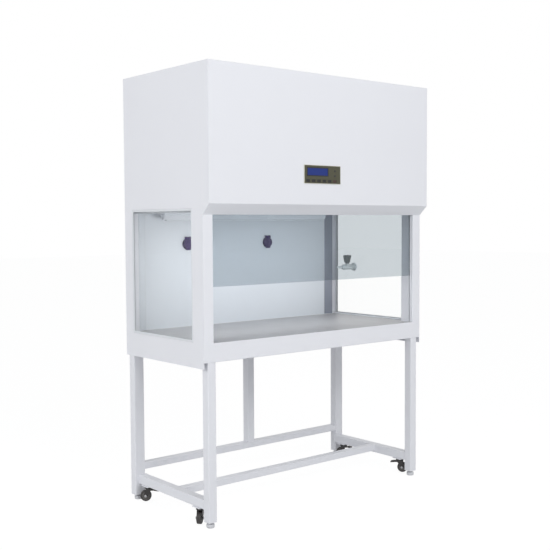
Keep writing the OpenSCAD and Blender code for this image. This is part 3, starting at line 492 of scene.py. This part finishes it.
# %% [markdown]
# ## The control panel
# The panel is a dark plastic frame let into the hood's front, with a thin pale rim, a display
# window, a row of keys and two indicators. The rim is a plane whose middle is inset and removed,
# and which Solidify then gives its depth.

# %% Panel rim and display border
def ring_plate(width, height, band, depth, centre):
    """An upright rectangular ring that faces -Y."""
    deselect()
    bpy.ops.mesh.primitive_plane_add(size=1.0, location=(0, 0, 0))
    piece = bpy.context.object
    piece.scale = (width, height, 1)
    bpy.ops.object.transform_apply(location=False, rotation=False, scale=True)
    bpy.ops.object.mode_set(mode="EDIT")
    bpy.ops.mesh.select_all(action="SELECT")
    bpy.ops.mesh.inset(thickness=band, depth=0)
    bpy.ops.mesh.delete(type="FACE")
    bpy.ops.object.mode_set(mode="OBJECT")
    shell = piece.modifiers.new("depth", "SOLIDIFY")
    shell.thickness = depth
    shell.offset = 0
    apply_modifiers(piece)
    bevelled(piece, min(band, depth) * 0.3, 2)
    piece.data.transform(Matrix.Translation(centre) @ Matrix.Rotation(math.radians(90), 4, "X"))
    return piece


panel_low, panel_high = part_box("panel_bezel")
display_low, display_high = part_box("display")
panel_mid = (panel_low + panel_high) / 2
display_mid = (display_low + display_high) / 2
panel_size = panel_high - panel_low
display_size = display_high - display_low

RIM_BAND, RIM_DEPTH = 0.0022, 0.0045
RIM_PAINT = finish("panel_rim_paint", seen(205, 203, 190), gloss=(0.3, 0.4), tone=0.02)
rim = ring_plate(panel_size.x + 0.004, panel_size.z + 0.004, RIM_BAND, RIM_DEPTH,
                 (panel_mid.x, panel_low.y + 0.0021, panel_mid.z))
done(rim, "panel_rim", RIM_PAINT)
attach(rim, "cabinet")

BORDER_BAND, BORDER_DEPTH = 0.0042, 0.0016
border = ring_plate(display_size.x + 0.007, display_size.z + 0.007, BORDER_BAND, BORDER_DEPTH,
                    (display_mid.x, panel_low.y, display_mid.z))
done(border, "display_border", BLACK_PLASTIC)
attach(border, "cabinet")
print("panel", [round(v * 1000, 1) for v in panel_size], "mm")

# %% [markdown]
# Under the display window the real panel has six flat keys, of which the last is brown. A key
# is a block with soft edges and a shallow dish in its face: the front face is inset, and the
# inner face is pushed back. A key could be sculpted, but two insets keep its edges straight.

# %% Keys
KEY_EDGE = 0.0012
DISH_RIM, DISH_SLOPE, DISH_DEPTH = 0.0016, 0.0008, 0.0007


def dished_key(low, high):
    piece = block(high - low, (low + high) / 2, KEY_EDGE, 3)
    bpy.ops.object.transform_apply(location=True, rotation=False, scale=False)
    for face in piece.data.polygons:
        face.select = face.normal.y < -0.99
    bpy.ops.object.mode_set(mode="EDIT")
    bpy.context.tool_settings.mesh_select_mode = (False, False, True)
    bpy.ops.mesh.inset(thickness=DISH_RIM, depth=0)
    bpy.ops.mesh.inset(thickness=DISH_SLOPE, depth=-DISH_DEPTH)
    bpy.ops.object.mode_set(mode="OBJECT")
    return piece


for number in range(1, 7):
    node = f"key_{number}"
    low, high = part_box(node)
    plastic = BROWN_KEY_PLASTIC if number == 6 else KEY_PLASTIC
    cap = done(dished_key(low, high), f"key_cap_{number}", plastic)
    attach(cap, f"key_{number}_cap")
    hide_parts(node)
print("keys are", [round(v * 1000, 1) for v in high - low], "mm")

# %% [markdown]
# The two indicators beside the display are dark domes, each in a low collar. Both are turned: a
# short tube, then a dome in three steps. It could be half a sphere, but a real one is flatter.

# %% Indicators
DOME = [(0.0050, 0.0), (0.0050, 0.0006), (0.0045, 0.0012), (0.0033, 0.0018), (0.0015, 0.0021)]
COLLAR = [(0.0064, 0.0), (0.0064, 0.0005), (0.0058, 0.0009)]
LENS_FROM_EDGE = 0.033
for label, height in (("upper", 0.017), ("lower", -0.004)):
    spot = (panel_high.x - LENS_FROM_EDGE, panel_low.y, panel_mid.z + height)
    lens = aim(turned(DOME, 28), spot, (0, -1, 0))
    done(lens, f"indicator_{label}", BLACK_PLASTIC, 60)
    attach(lens, "cabinet")
    collar = aim(turned(COLLAR, 28), spot, (0, -1, 0))
    done(collar, f"indicator_{label}_collar", PANEL_PLASTIC)
    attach(collar, "cabinet")
print("indicators stand", round(LENS_FROM_EDGE * 1000), "mm from the panel's edge")

# %% [markdown]
# ## Sockets and gas tap
# Each socket has a sprung lid. A raised rim and a finger tab at the bottom show that it can be
# lifted. The rim is a torus, sunk into the lid until only its crest stands out. A ring could be
# inset in the lid's own mesh instead, but that mesh comes from the drawing and stays as it is.

# %% Socket lids
CENTRE_UP = 0.026
RIM_R, RIM_WIRE, RIM_SUNK = 0.0148, 0.0020, 0.0016
TAB_SIZE, TAB_ROUND = (0.027, 0.006, 0.010), 0.0026
CROWN = [(0.0120, 0.0), (0.0116, 0.0010), (0.0086, 0.0022), (0.0040, 0.0028)]
for side in ("left", "right"):
    low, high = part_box(f"{side}_socket_lid")
    centre_x = (low.x + high.x) / 2
    centre_z = low.z + CENTRE_UP
    deselect()
    bpy.ops.mesh.primitive_torus_add(major_segments=48, minor_segments=12, major_radius=RIM_R,
                                     minor_radius=RIM_WIRE, location=(0, 0, 0))
    rim = bpy.context.object
    rim.data.transform(Matrix.Translation((centre_x, low.y + RIM_SUNK, centre_z))
                       @ Matrix.Rotation(math.radians(90), 4, "X"))
    done(rim, f"{side}_lid_rim", SOCKET_PLASTIC)
    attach(rim, f"{side}_lid")
    tab = block(TAB_SIZE, (centre_x, low.y + 0.0045, low.z + 0.0015), TAB_ROUND, 4)
    done(tab, f"{side}_lid_tab", SOCKET_PLASTIC)
    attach(tab, f"{side}_lid")
    boss = aim(turned(CROWN, 40), (centre_x, low.y + 0.0006, centre_z), (0, -1, 0))
    done(boss, f"{side}_lid_crown", SOCKET_PLASTIC, 50)
    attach(boss, f"{side}_lid")

# %% [markdown]
# The tap's knob has a pale disc on top with a pointer line, so that the user sees whether it is
# open. The union nut and a sealing ring sit where the body meets the window. The nut is turned
# with six sides, which gives a hexagon without any cutting.

# %% Gas tap
DISC = [(0.0150, 0.0), (0.0150, 0.0010), (0.0140, 0.0016)]
UNION_NUT = [(0.0165, 0.0), (0.0175, 0.0010), (0.0175, 0.0070), (0.0165, 0.0080)]
SEALING_RING = [(0.0215, 0.0), (0.0215, 0.0012), (0.0205, 0.0016)]
POINTER_SIZE, POINTER_OUT = (0.0030, 0.0130, 0.0010), 0.0055
TAP_DROP, NUT_OUT = 0.034, 0.0105
tap_axis = Vector(joints["tap_turn"]["pos_m"])
knob_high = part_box("gas_knob")[1]
disc = aim(turned(DISC, 36), (tap_axis.x, tap_axis.y, knob_high.z - 0.0002))
done(disc, "knob_disc", GUIDE_PLASTIC)
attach(disc, "tap_knob")
pointer = block(POINTER_SIZE, (tap_axis.x, tap_axis.y - POINTER_OUT, knob_high.z + 0.0016),
                0.0004, 2)
done(pointer, "knob_pointer", BLACK_PLASTIC)
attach(pointer, "tap_knob")
window_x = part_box("right_glass")[0].x
tap_z = tap_axis.z - TAP_DROP
nut = aim(turned(UNION_NUT, 6), (window_x - NUT_OUT, tap_axis.y, tap_z), (-1, 0, 0))
bevelled(nut, 0.0006, 2)
done(nut, "tap_union_nut", TAP_NICKEL)
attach(nut, "cabinet")
ring = aim(turned(SEALING_RING, 40), (window_x - 0.0001, tap_axis.y, tap_z), (-1, 0, 0))
done(ring, "tap_sealing_ring", SEAL_RUBBER)
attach(ring, "cabinet")
tap_reach = window_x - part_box("gas_tap")[0].x
print("tap projects", round(tap_reach * 1000), "mm into the chamber")

# %% [markdown]
# ## Castors
# All four castors are the same, so each of their pieces is modelled once, with the swivel axis
# on the world's Z axis. The wheel is turned: a soft tread round a stiff hub, with a recess and a
# bearing boss on each side. It could be two pieces, but the tread and the hub of a real wheel
# are moulded together, so one piece with two finishes is nearer.

# %% Castor wheel
TREAD_HALF = 0.010
HUB_REACH = 0.0186
AXLE = Vector((0.014, 0.0, 0.028))


def castor_wheel():
    hub = [(0.0036, -0.0103), (0.0070, -0.0103), (0.0078, -0.0098), (0.0086, -0.0066),
           (0.0170, -0.0066), (0.0180, -0.0088)]
    tread = [(0.0190, -0.0098), (0.0200, -0.0100), (0.0222, -0.0099), (0.0240, -0.0090),
             (0.0248, -0.0072), (0.0250, -0.0050), (0.0250, -0.0022), (0.0247, -0.0018)]
    profile = hub + tread + [(r, -h) for r, h in reversed(hub + tread)]
    wheel = turned(profile, 64)
    wheel.data.transform(Matrix.Translation(AXLE) @ Matrix.Rotation(math.radians(90), 4, "X"))
    return wheel


def two_tone(piece, centre, inner, outer, limit):
    """Gives the faces near the axle one finish and the rest another."""
    piece.data.materials.clear()
    piece.data.materials.append(outer)
    piece.data.materials.append(inner)
    for face in piece.data.polygons:
        away = face.center - centre
        away.y = 0
        if away.length < limit:
            face.material_index = 1


wheel_model = castor_wheel()
done(wheel_model, "wheel_model", TREAD, 25)
two_tone(wheel_model, AXLE, HUB_PLASTIC, TREAD, HUB_REACH)
print("wheel model has", len(wheel_model.data.polygons), "faces")

# %% [markdown]
# The brake pedal of a castor has a plastic pad for the toe, with four ridges against slipping.
# The pad starts as a cube. Its outer end is lowered and narrowed, as on the real pedal, and the
# edges are bevelled. The ridges could be cut into it, but small blocks on top keep it simple.

# %% Pedal pad
PAD_MIDDLE, PAD_SIZE, PAD_ROUND = (-0.0335, 0, 0.0548), (0.0240, 0.0250, 0.0072), 0.0022
TIP_DROP, TIP_WIDTH = 0.0035, 0.86
RIDGE_SIZE = (0.0014, 0.0190, 0.0012)
deselect()
bpy.ops.mesh.primitive_cube_add(size=1.0, location=PAD_MIDDLE)
pad_model = bpy.context.object
pad_model.scale = PAD_SIZE
bpy.ops.object.transform_apply(location=True, rotation=False, scale=True)
for vertex in pad_model.data.vertices:
    if vertex.co.x < PAD_MIDDLE[0]:
        vertex.co.z -= TIP_DROP
        vertex.co.y *= TIP_WIDTH
bevelled(pad_model, PAD_ROUND, 4)
done(pad_model, "pad_model", DARK_PLASTIC)

ridge_model = block(RIDGE_SIZE, (0, 0, 0), 0.0005, 2)
done(ridge_model, "ridge_model", DARK_PLASTIC)
print("pad model has", len(pad_model.data.polygons), "faces")

# %% [markdown]
# The ball race shows as a rounded rim round the head of the fork, and a low cap covers each end
# of the axle. Both are turned. Then all the pieces are copied to the four places, which come
# from the swivel joints of the frame, and turned to the heading of each wheel.

# %% Castors
BALL_RACE = [(0.0186, 0.0600), (0.0196, 0.0606), (0.0200, 0.0620), (0.0196, 0.0634),
             (0.0186, 0.0640)]
AXLE_CAP = [(0.0062, 0.0), (0.0062, 0.0012), (0.0050, 0.0024), (0.0026, 0.0030)]
race_model = turned(BALL_RACE, 48)
done(race_model, "race_model", FORK_ENAMEL, 60)
cap_model = turned(AXLE_CAP, 28)
done(cap_model, "cap_model", ZINC, 50)

RIDGE_START, RIDGE_PITCH = 0.0260, 0.0050
PAD_INNER_END, PAD_TOP, PAD_SLOPE = 0.0215, 0.0587, 0.146
WHEEL_PLAY, FORK_SHEET, CAP_SEAT = 0.0005, 0.0025, 0.0018
cap_reach = TREAD_HALF + WHEEL_PLAY + FORK_SHEET + CAP_SEAT
for corner in ("front_left", "front_right", "rear_left", "rear_right"):
    swivel = Vector(joints[f"{corner}_swivel"]["pos_m"])
    roll = Vector(joints[f"{corner}_roll"]["pos_m"])
    heading = math.atan2(roll.y - swivel.y, roll.x - swivel.x)
    place = Matrix.Translation((swivel.x, swivel.y, 0)) @ Matrix.Rotation(heading, 4, "Z")
    wheel = twin(wheel_model, f"{corner}_castor_wheel", place)
    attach(wheel, f"{corner}_roller")
    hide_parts(f"{corner}_wheel")
    pad = twin(pad_model, f"{corner}_pedal_pad", place)
    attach(pad, f"{corner}_brake")
    for step in range(4):
        along = RIDGE_START + step * RIDGE_PITCH
        height = PAD_TOP - (along - PAD_INNER_END) * PAD_SLOPE
        spot = place @ Matrix.Translation((-along, 0, height))
        ridge = twin(ridge_model, f"{corner}_pedal_ridge_{step + 1}", spot)
        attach(ridge, f"{corner}_brake")
    race = twin(race_model, f"{corner}_ball_race", place)
    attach(race, f"{corner}_castor")
    for label, sign in (("a", -1), ("b", 1)):
        outward = Matrix.Rotation(-sign * math.radians(90), 4, "X")
        spot = place @ Matrix.Translation((AXLE.x, sign * cap_reach, AXLE.z)) @ outward
        cap = twin(cap_model, f"{corner}_axle_cap_{label}", spot)
        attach(cap, f"{corner}_castor")
for model in (wheel_model, pad_model, ridge_model, race_model, cap_model):
    bpy.data.objects.remove(model)
print("castors dressed; headings follow the swivel joints")

# %% [markdown]
# ## Levelling feet
# A levelling foot is a rounded plastic cup on a threaded stem, which screws into the leg. A real
# thread is a helix, but a stack of ridges looks the same from a step away and is simply turned.
# It just clears the bore. The cup is turned too, and stands in for the plain foot.

# %% Feet
STEM_R, THREAD_PITCH, THREAD_DEPTH = 0.0056, 0.0014, 0.0004
CUP_TOP = 0.0160
CUP_PROFILE = [(0.0132, 0.0002), (0.0152, 0.0008), (0.0168, 0.0026), (0.0174, 0.0054),
               (0.0175, 0.0124), (0.0170, 0.0146), (0.0157, CUP_TOP), (0.0090, 0.0169)]


def thread(bottom, top, radius, pitch):
    """The outline of a threaded rod, for turning."""
    crest = radius + THREAD_DEPTH
    profile = [(radius, bottom)]
    height = bottom
    while height + pitch < top:
        profile += [(crest, height + pitch * 0.3), (crest, height + pitch * 0.5),
                    (radius, height + pitch * 0.8)]
        height += pitch
    return profile + [(radius, top)]


stem_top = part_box("front_left_foot")[1].z - 0.0005
stem_model = turned(thread(CUP_TOP, stem_top, STEM_R, THREAD_PITCH), 24)
done(stem_model, "stem_model", ZINC)
for corner in ("front_left", "front_right", "rear_left", "rear_right"):
    low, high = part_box(f"{corner}_foot")
    middle = (low + high) / 2
    stem = twin(stem_model, f"{corner}_stem_thread", Matrix.Translation((middle.x, middle.y, 0)))
    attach(stem, f"{corner}_level")
    cup = aim(turned(CUP_PROFILE, 44), (middle.x, middle.y, 0))
    done(cup, f"{corner}_foot_cup", FOOT_PLASTIC, 60)
    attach(cup, f"{corner}_level")
    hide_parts(f"{corner}_foot")
bpy.data.objects.remove(stem_model)
print("threads reach", round(stem_top * 1000), "mm above the floor")

# %% [markdown]
# ## Welds
# The stand is welded from tube, and paint never hides a weld quite. Each bead starts as a plane
# with only its outline kept. The outline becomes a curve with a round section, and the curve
# becomes a mesh again. A torus would be quicker, but it can't follow a square tube.

# %% Weld beads
TUBE, LOW_BAR, TUBE_CORNER = 0.040, 0.030, 0.003


def bead_loop(name, centre, size, normal, radius, material):
    """A thin round bead along a rectangle. size is measured across the normal."""
    deselect()
    bpy.ops.mesh.primitive_plane_add(size=1.0, location=(0, 0, 0))
    piece = bpy.context.object
    piece.scale = (size[0], size[1], 1)
    bpy.ops.object.transform_apply(location=False, rotation=False, scale=True)
    bpy.ops.object.mode_set(mode="EDIT")
    bpy.ops.mesh.select_all(action="SELECT")
    bpy.ops.mesh.bevel(offset=TUBE_CORNER, segments=3, affect="VERTICES")
    bpy.ops.mesh.delete(type="ONLY_FACE")
    bpy.ops.object.mode_set(mode="OBJECT")
    bpy.ops.object.convert(target="CURVE")
    piece = bpy.context.object
    piece.data.bevel_depth = radius
    piece.data.bevel_resolution = 2
    bpy.ops.object.convert(target="MESH")
    piece = bpy.context.object
    turn = {"X": Matrix(((0, 0, 1, 0), (1, 0, 0, 0), (0, 1, 0, 0), (0, 0, 0, 1))),
            "Y": Matrix(((1, 0, 0, 0), (0, 0, 1, 0), (0, 1, 0, 0), (0, 0, 0, 1))),
            "Z": Matrix.Identity(4)}[normal]
    piece.data.transform(Matrix.Translation(centre) @ turn)
    if normal == "Y":
        piece.data.flip_normals()
    done(piece, name, material, 60)
    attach(piece, "cabinet")


WELD_R = 0.0013
SIDE_BAR_X, SIDE_BAR_Z = 0.610, 0.094
MIDDLE_POST_X = 0.020
bar_low, bar_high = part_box("cross_bar")
bar_mid = (bar_low + bar_high) / 2
leg_front_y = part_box("left_end_frame")[0].y
rear_low, rear_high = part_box("rear_frame")
rear_mid_y = (rear_low.y + rear_high.y) / 2
beads = 0
for sign, side in ((-1, "left"), (1, "right")):
    bead_loop(f"{side}_cross_weld", (sign * bar_high.x, bar_mid.y, bar_mid.z),
              (bar_high.y - bar_low.y, bar_high.z - bar_low.z), "X", WELD_R, WELD)
    bead_loop(f"{side}_rear_weld", (sign * rear_high.x, rear_mid_y, rear_low.z + LOW_BAR / 2),
              (TUBE, LOW_BAR), "X", WELD_R, WELD)
    for label, y in (("front", leg_front_y + TUBE), ("back", rear_low.y)):
        bead_loop(f"{side}_{label}_bar_weld", (sign * SIDE_BAR_X, y, SIDE_BAR_Z), (TUBE, TUBE), "Y",
                  WELD_R, WELD)
    beads += 4
bead_loop("middle_post_weld", (MIDDLE_POST_X, rear_mid_y, rear_low.z + LOW_BAR), (TUBE, TUBE), "Z",
          WELD_R, WELD)
print("weld beads:", beads + 1)

# %% [markdown]
# ## Sealant
# A bead of sealant closes the corners at the back of the chamber. Each bead is straight, so it
# is a thin turned rod with rounded ends, laid half into its corner.

# %% Sealant beads
def corner_bead(name, start, end, radius):
    """A straight bead of sealant, a thin rod with rounded ends."""
    start, end = Vector(start), Vector(end)
    along = end - start
    profile = [(radius * 0.4, 0), (radius, radius * 0.8), (radius, along.length - radius * 0.8),
               (radius * 0.4, along.length)]
    piece = aim(turned(profile, 12), start, along)
    done(piece, name, SEALANT, 60)
    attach(piece, "cabinet")


work_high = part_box("worktop")[1]
wall_low, wall_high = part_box("back_wall")
bead_y, bead_foot = wall_low.y - 0.0004, work_high.z + 0.0006
corner_bead("worktop_rear_bead", (wall_low.x, bead_y, bead_foot), (wall_high.x, bead_y, bead_foot),
            0.0022)
for sign, side in ((-1, "left"), (1, "right")):
    corner_bead(f"{side}_wall_bead", (sign * wall_high.x, bead_y, bead_foot),
                (sign * wall_high.x, bead_y, wall_high.z - 0.012), 0.0018)
print("sealant beads: one along the worktop, two up the wall")

# %% [markdown]
# ## Corner trims
# The sloping face of each rear corner post carries a metal trim from the worktop to the ceiling.
# The right one is dark, and its dark colour is painted shade: it stands in for the shade and the
# dark reflection in the rear right corner. The left one is painted like the wall. Each is a thin
# block, turned to lie on the slope. A second finish on the post would do for the colour, but only
# a real edge catches the light.

# %% Corner trims
SLOPE_RUN, SLOPE_DEPTH = 0.044, 0.018
TRIM_SHEET, TRIM_GAP = 0.0014, 0.002
trim_length = math.hypot(SLOPE_RUN, SLOPE_DEPTH)
trim_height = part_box("diffuser_screen")[0].z - work_high.z - 2 * TRIM_GAP
# the right trim's dark finish is painted shade for the rear right corner; the left trim has the
# wall's colour
for sign, side, coat in ((-1, "left", WALL_COAT), (1, "right", PAINTED_SHADE_TRIM)):
    trim = block((trim_length - TRIM_GAP, TRIM_SHEET, trim_height), (0, 0, 0), 0.0004, 2)
    facing = Vector((-sign * SLOPE_DEPTH, -SLOPE_RUN, 0)).normalized()
    middle = Vector((sign * (wall_high.x + SLOPE_RUN / 2), wall_low.y - SLOPE_DEPTH / 2,
                     work_high.z + trim_height / 2 + TRIM_GAP)) + facing * 0.0009
    trim.data.transform(Matrix.Translation(middle) @ Matrix.Rotation(
        -sign * math.atan2(SLOPE_DEPTH, SLOPE_RUN), 4, "Z"))
    done(trim, f"{side}_corner_trim", coat)
    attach(trim, "cabinet")
print("corner trims stand", round(trim_height * 1000), "mm high")

# %% [markdown]
# ## Window beads
# Each side window is held by a rubber bead that fills the step between the pane and the edge of
# the sheet around it. A frame like this is the panel's ring again, turned to face sideways.

# %% Window beads
BEAD_BAND, BEAD_DEPTH, BEAD_OVERLAP = 0.0095, 0.0044, 0.0054
for sign, side in ((-1, "left"), (1, "right")):
    pane_low, pane_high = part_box(f"{side}_glass")
    pane_mid = (pane_low + pane_high) / 2
    face = pane_high.x if sign > 0 else pane_low.x
    width = pane_high.y - pane_low.y + BEAD_OVERLAP
    height = pane_high.z - pane_low.z + BEAD_OVERLAP
    bead = ring_plate(width, height, BEAD_BAND, BEAD_DEPTH, (0, 0, 0))
    bead.data.transform(Matrix.Translation((face + sign * BEAD_DEPTH / 2, pane_mid.y, pane_mid.z))
                        @ Matrix.Rotation(math.radians(90), 4, "Z"))
    done(bead, f"{side}_window_bead", SEAL_RUBBER)
    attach(bead, "cabinet")
print("window beads stand", BEAD_DEPTH * 1000, "mm off the glass")

# %% [markdown]
# ## Screws
# The back cover and the roof come off for service, so they are held by button-head screws. One
# screw is turned, and the socket in its head is the top face, inset and pushed in. A real socket
# is a hexagon, but at this size a round one can't be told from it.

# %% Screw
SCREW_HEAD = [(0.0048, 0.0), (0.0048, 0.0004), (0.0044, 0.0013), (0.0034, 0.0021),
              (0.0024, 0.0024)]
SOCKET_RIM, SOCKET_DEPTH = 0.0006, 0.0014


def button_screw():
    piece = turned(SCREW_HEAD, 24)
    top_face = max(piece.data.polygons, key=lambda f: f.center.z)
    for face in piece.data.polygons:
        face.select = face.index == top_face.index
    bpy.context.view_layer.objects.active = piece
    bpy.ops.object.mode_set(mode="EDIT")
    bpy.context.tool_settings.mesh_select_mode = (False, False, True)
    bpy.ops.mesh.inset(thickness=SOCKET_RIM, depth=0)
    bpy.ops.mesh.inset(thickness=0.0001, depth=-SOCKET_DEPTH)
    bpy.ops.object.mode_set(mode="OBJECT")
    return piece


screw_model = button_screw()
done(screw_model, "screw_model", ZINC, 40)
print("screw head", SCREW_HEAD[0][0] * 2000, "mm across")

# %% [markdown]
# The other screws are copies. They stand in even steps along the edges of the two sheets, each
# a fixed inset from the edge, as on a real cover. The edges come from the sheets' boxes.

# %% Rows of screws
back_low, back_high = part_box("back_cover")
roof_low, roof_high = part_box("roof_panel")
facing_back = Matrix.Rotation(math.radians(-90), 4, "X")
SCREW_INSET, ROOF_INSET, SEAT = 0.012, 0.016, 0.0002
SIDE_ROWS, SIDE_MARGIN = 7, 0.020
BACK_COLUMNS = (-0.42, -0.21, 0.0, 0.21, 0.42)
ROOF_COLUMNS = (-0.62, -0.31, 0.0, 0.31, 0.62)
screw_y = back_high.y - SEAT
run = back_high.z - back_low.z - 2 * SIDE_MARGIN
spots = []
for i in range(SIDE_ROWS):
    height = back_low.z + SIDE_MARGIN + i * run / (SIDE_ROWS - 1)
    spots += [(sign * (back_high.x - SCREW_INSET), screw_y, height) for sign in (-1, 1)]
for x in BACK_COLUMNS:
    spots += [(x, screw_y, back_low.z + SCREW_INSET), (x, screw_y, back_high.z - SCREW_INSET)]
for number, spot in enumerate(spots, 1):
    screw = twin(screw_model, f"back_screw_{number}", Matrix.Translation(spot) @ facing_back)
    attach(screw, "cabinet")
roof_spots = [(x, y, roof_high.z - SEAT) for x in ROOF_COLUMNS
              for y in (roof_low.y + ROOF_INSET, roof_high.y - ROOF_INSET)]
for number, spot in enumerate(roof_spots, 1):
    screw = twin(screw_model, f"roof_screw_{number}", Matrix.Translation(spot))
    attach(screw, "cabinet")
bpy.data.objects.remove(screw_model)
print("screws:", len(spots) + len(roof_spots))

# %% [markdown]
# ## Power inlet
# The inlet in the back cover takes a standard plug. Three flat pins stand in its recess, inside
# a shallow flange. The flange is the panel's ring once more, and the pins are small blocks.

# %% Power inlet
FLANGE_WIDTH, FLANGE_HEIGHT, FLANGE_BAND, FLANGE_SHEET = 0.0380, 0.0290, 0.0052, 0.0016
PIN_SIZE, PIN_SUNK = (0.0020, 0.0110, 0.0040), 0.0090
PIN_PLACES = ((-0.007, -0.0015), (0.0, 0.0022), (0.007, -0.0015))
inlet_low, inlet_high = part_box("power_inlet")
inlet_mid = (inlet_low + inlet_high) / 2
flange = ring_plate(FLANGE_WIDTH, FLANGE_HEIGHT, FLANGE_BAND, FLANGE_SHEET, (0, 0, 0))
flange.data.transform(Matrix.Translation((inlet_mid.x, inlet_high.y + 0.0006, inlet_mid.z)))
done(flange, "inlet_flange", BLACK_PLASTIC)
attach(flange, "cabinet")
for number, (dx, dz) in enumerate(PIN_PLACES, 1):
    pin = block(PIN_SIZE, (inlet_mid.x + dx, inlet_high.y - PIN_SUNK, inlet_mid.z + dz), 0.0006, 2)
    done(pin, f"inlet_pin_{number}", CHROME)
    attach(pin, "cabinet")
print("inlet has", number, "pins")

# %% [markdown]
# ## Lamps
# Under the ceiling a batten carries a light strip and an ultraviolet tube. The strip gets a
# milky lens, a bevelled block, and the tube gets its two metal caps, which are turned.

# %% Lamps
LENS_MARGIN, LENS_WIDTH, LENS_HEIGHT, LENS_ROUND = 0.015, 0.0150, 0.0060, 0.0026
TUBE_CAP, CAP_BACK = [(0.0084, 0.0), (0.0086, 0.0010), (0.0086, 0.0150), (0.0080, 0.0170)], 0.0240
lamp_low, lamp_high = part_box("lamp_fixture")
strip = block((lamp_high.x - lamp_low.x - 2 * LENS_MARGIN, LENS_WIDTH, LENS_HEIGHT),
              (0, lamp_low.y + 0.0175, lamp_low.z - 0.0020), LENS_ROUND, 4)
done(strip, "light_strip_lens", LENS_PLASTIC)
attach(strip, "cabinet")
tube_low, tube_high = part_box("uv_tube")
tube_mid = (tube_low + tube_high) / 2
for sign, side in ((-1, "left"), (1, "right")):
    inner_end = sign * (tube_high.x - CAP_BACK)
    cap = aim(turned(TUBE_CAP, 32), (inner_end, tube_mid.y, tube_mid.z), (sign, 0, 0))
    done(cap, f"{side}_tube_cap", CHROME)
    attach(cap, "cabinet")
print("tube length", round((tube_high.x - tube_low.x) * 1000), "mm")

# %% [markdown]
# ## Floor and light
# The floor is wide and pale. To the camera it is nearly white, but part of its true shading is
# mixed in, so that the hood keeps a soft shadow. Reflections and views through glass see the
# same white. A curved backdrop would hide the horizon too, but it would catch the light unevenly.

# %% Floor
def for_the_eye(tree):
    """1 for rays from the camera, from a reflection or through glass, and 0 for the others."""
    rays = tree.nodes.new("ShaderNodeLightPath")
    value = rays.outputs["Is Camera Ray"]
    for kind in ("Is Glossy Ray", "Is Transmission Ray"):
        either = tree.nodes.new("ShaderNodeMath")
        either.operation = "MAXIMUM"
        tree.links.new(value, either.inputs[0])
        tree.links.new(rays.outputs[kind], either.inputs[1])
        value = either.outputs[0]
    return value


def blend_into(tree, sink, value, first, second):
    """Joins two shaders by a value, and leads them to the output."""
    blend = tree.nodes.new("ShaderNodeMixShader")
    tree.links.new(value, blend.inputs[0])
    tree.links.new(first.outputs[0], blend.inputs[1])
    tree.links.new(second.outputs[0], blend.inputs[2])
    tree.links.new(blend.outputs[0], sink.inputs["Surface"])


FLOOR_SIZE, FLOOR_GAP = 60.0, 0.0005
FLOOR_TONE = (0.83, 0.835, 0.845, 1)
FLOOR_WHITE, WHITE_SHARE = 1.055, 0.90
deselect()
bpy.ops.mesh.primitive_plane_add(size=FLOOR_SIZE, location=(0, 0, 0))
floor = bpy.context.object
floor.name = "floor"
floor.data.transform(Matrix.Translation((0, 0, -FLOOR_GAP)))
cover = bpy.data.materials.new("pale_floor")
cover.use_nodes = True
tree = cover.node_tree
tree.nodes.clear()
sink = tree.nodes.new("ShaderNodeOutputMaterial")
matt = tree.nodes.new("ShaderNodeBsdfDiffuse")
matt.inputs["Color"].default_value = FLOOR_TONE
shine = tree.nodes.new("ShaderNodeEmission")
shine.inputs["Color"].default_value = (1, 1, 1, 1)
shine.inputs["Strength"].default_value = FLOOR_WHITE
share = tree.nodes.new("ShaderNodeMath")
share.operation = "MULTIPLY"
share.inputs[1].default_value = WHITE_SHARE
tree.links.new(for_the_eye(tree), share.inputs[0])
blend_into(tree, sink, share.outputs[0], matt, shine)
floor.data.materials.append(cover)
print("floor: white share", WHITE_SHARE)

# %% [markdown]
# The sky is white to the eye but dimmer as a light, so that the pale sheets don't burn out. Two
# large soft lamps, one in front and one on the left, shape it a little. The third light is the
# glow of the strip in the chamber: a long, narrow lamp that isn't seen itself.

# %% Sky and lamps
SKY_TONE, SKY_LIGHT = (0.97, 0.985, 1.0, 1), 0.48
world = bpy.data.worlds.new("studio")
bpy.context.scene.world = world
world.use_nodes = True
tree = world.node_tree
tree.nodes.clear()
sink = tree.nodes.new("ShaderNodeOutputWorld")
soft = tree.nodes.new("ShaderNodeBackground")
soft.inputs["Color"].default_value = SKY_TONE
soft.inputs["Strength"].default_value = SKY_LIGHT
white = tree.nodes.new("ShaderNodeBackground")
white.inputs["Strength"].default_value = 1.0
white.inputs["Color"].default_value = (1, 1, 1, 1)
blend_into(tree, sink, for_the_eye(tree), soft, white)


def soft_lamp(name, place, target, size, watts):
    """A round soft lamp that faces the target."""
    data = bpy.data.lights.new(name, "AREA")
    data.shape = "DISK"
    data.size = size
    data.energy = watts
    lamp = bpy.data.objects.new(name, data)
    bpy.context.scene.collection.objects.link(lamp)
    lamp.location = place
    lamp.rotation_euler = (Vector(target) - Vector(place)).to_track_quat("-Z", "Y").to_euler()
    return lamp


HOOD_MIDDLE, LAMP_SIZE = (0, 0, 1.1), 3.2
soft_lamp("front_lamp", (-0.6, -5.0, 4.0), HOOD_MIDDLE, LAMP_SIZE, 132)
soft_lamp("left_lamp", (-5.0, -0.6, 2.8), HOOD_MIDDLE, LAMP_SIZE, 80)
GLOW_LENGTH, GLOW_WIDTH = 1.1, 0.12
strip_glow = soft_lamp("chamber_glow", (0, -0.18, 1.12), (0, 0.31, 1.02), GLOW_LENGTH, 2.2)
strip_glow.data.shape = "RECTANGLE"
strip_glow.data.size_y = GLOW_WIDTH
strip_glow.visible_camera = False
strip_glow.visible_glossy = False
strip_glow.visible_transmission = False
bpy.context.scene.view_settings.view_transform = "Standard"
print("light: one sky, two lamps and the glow of the strip")
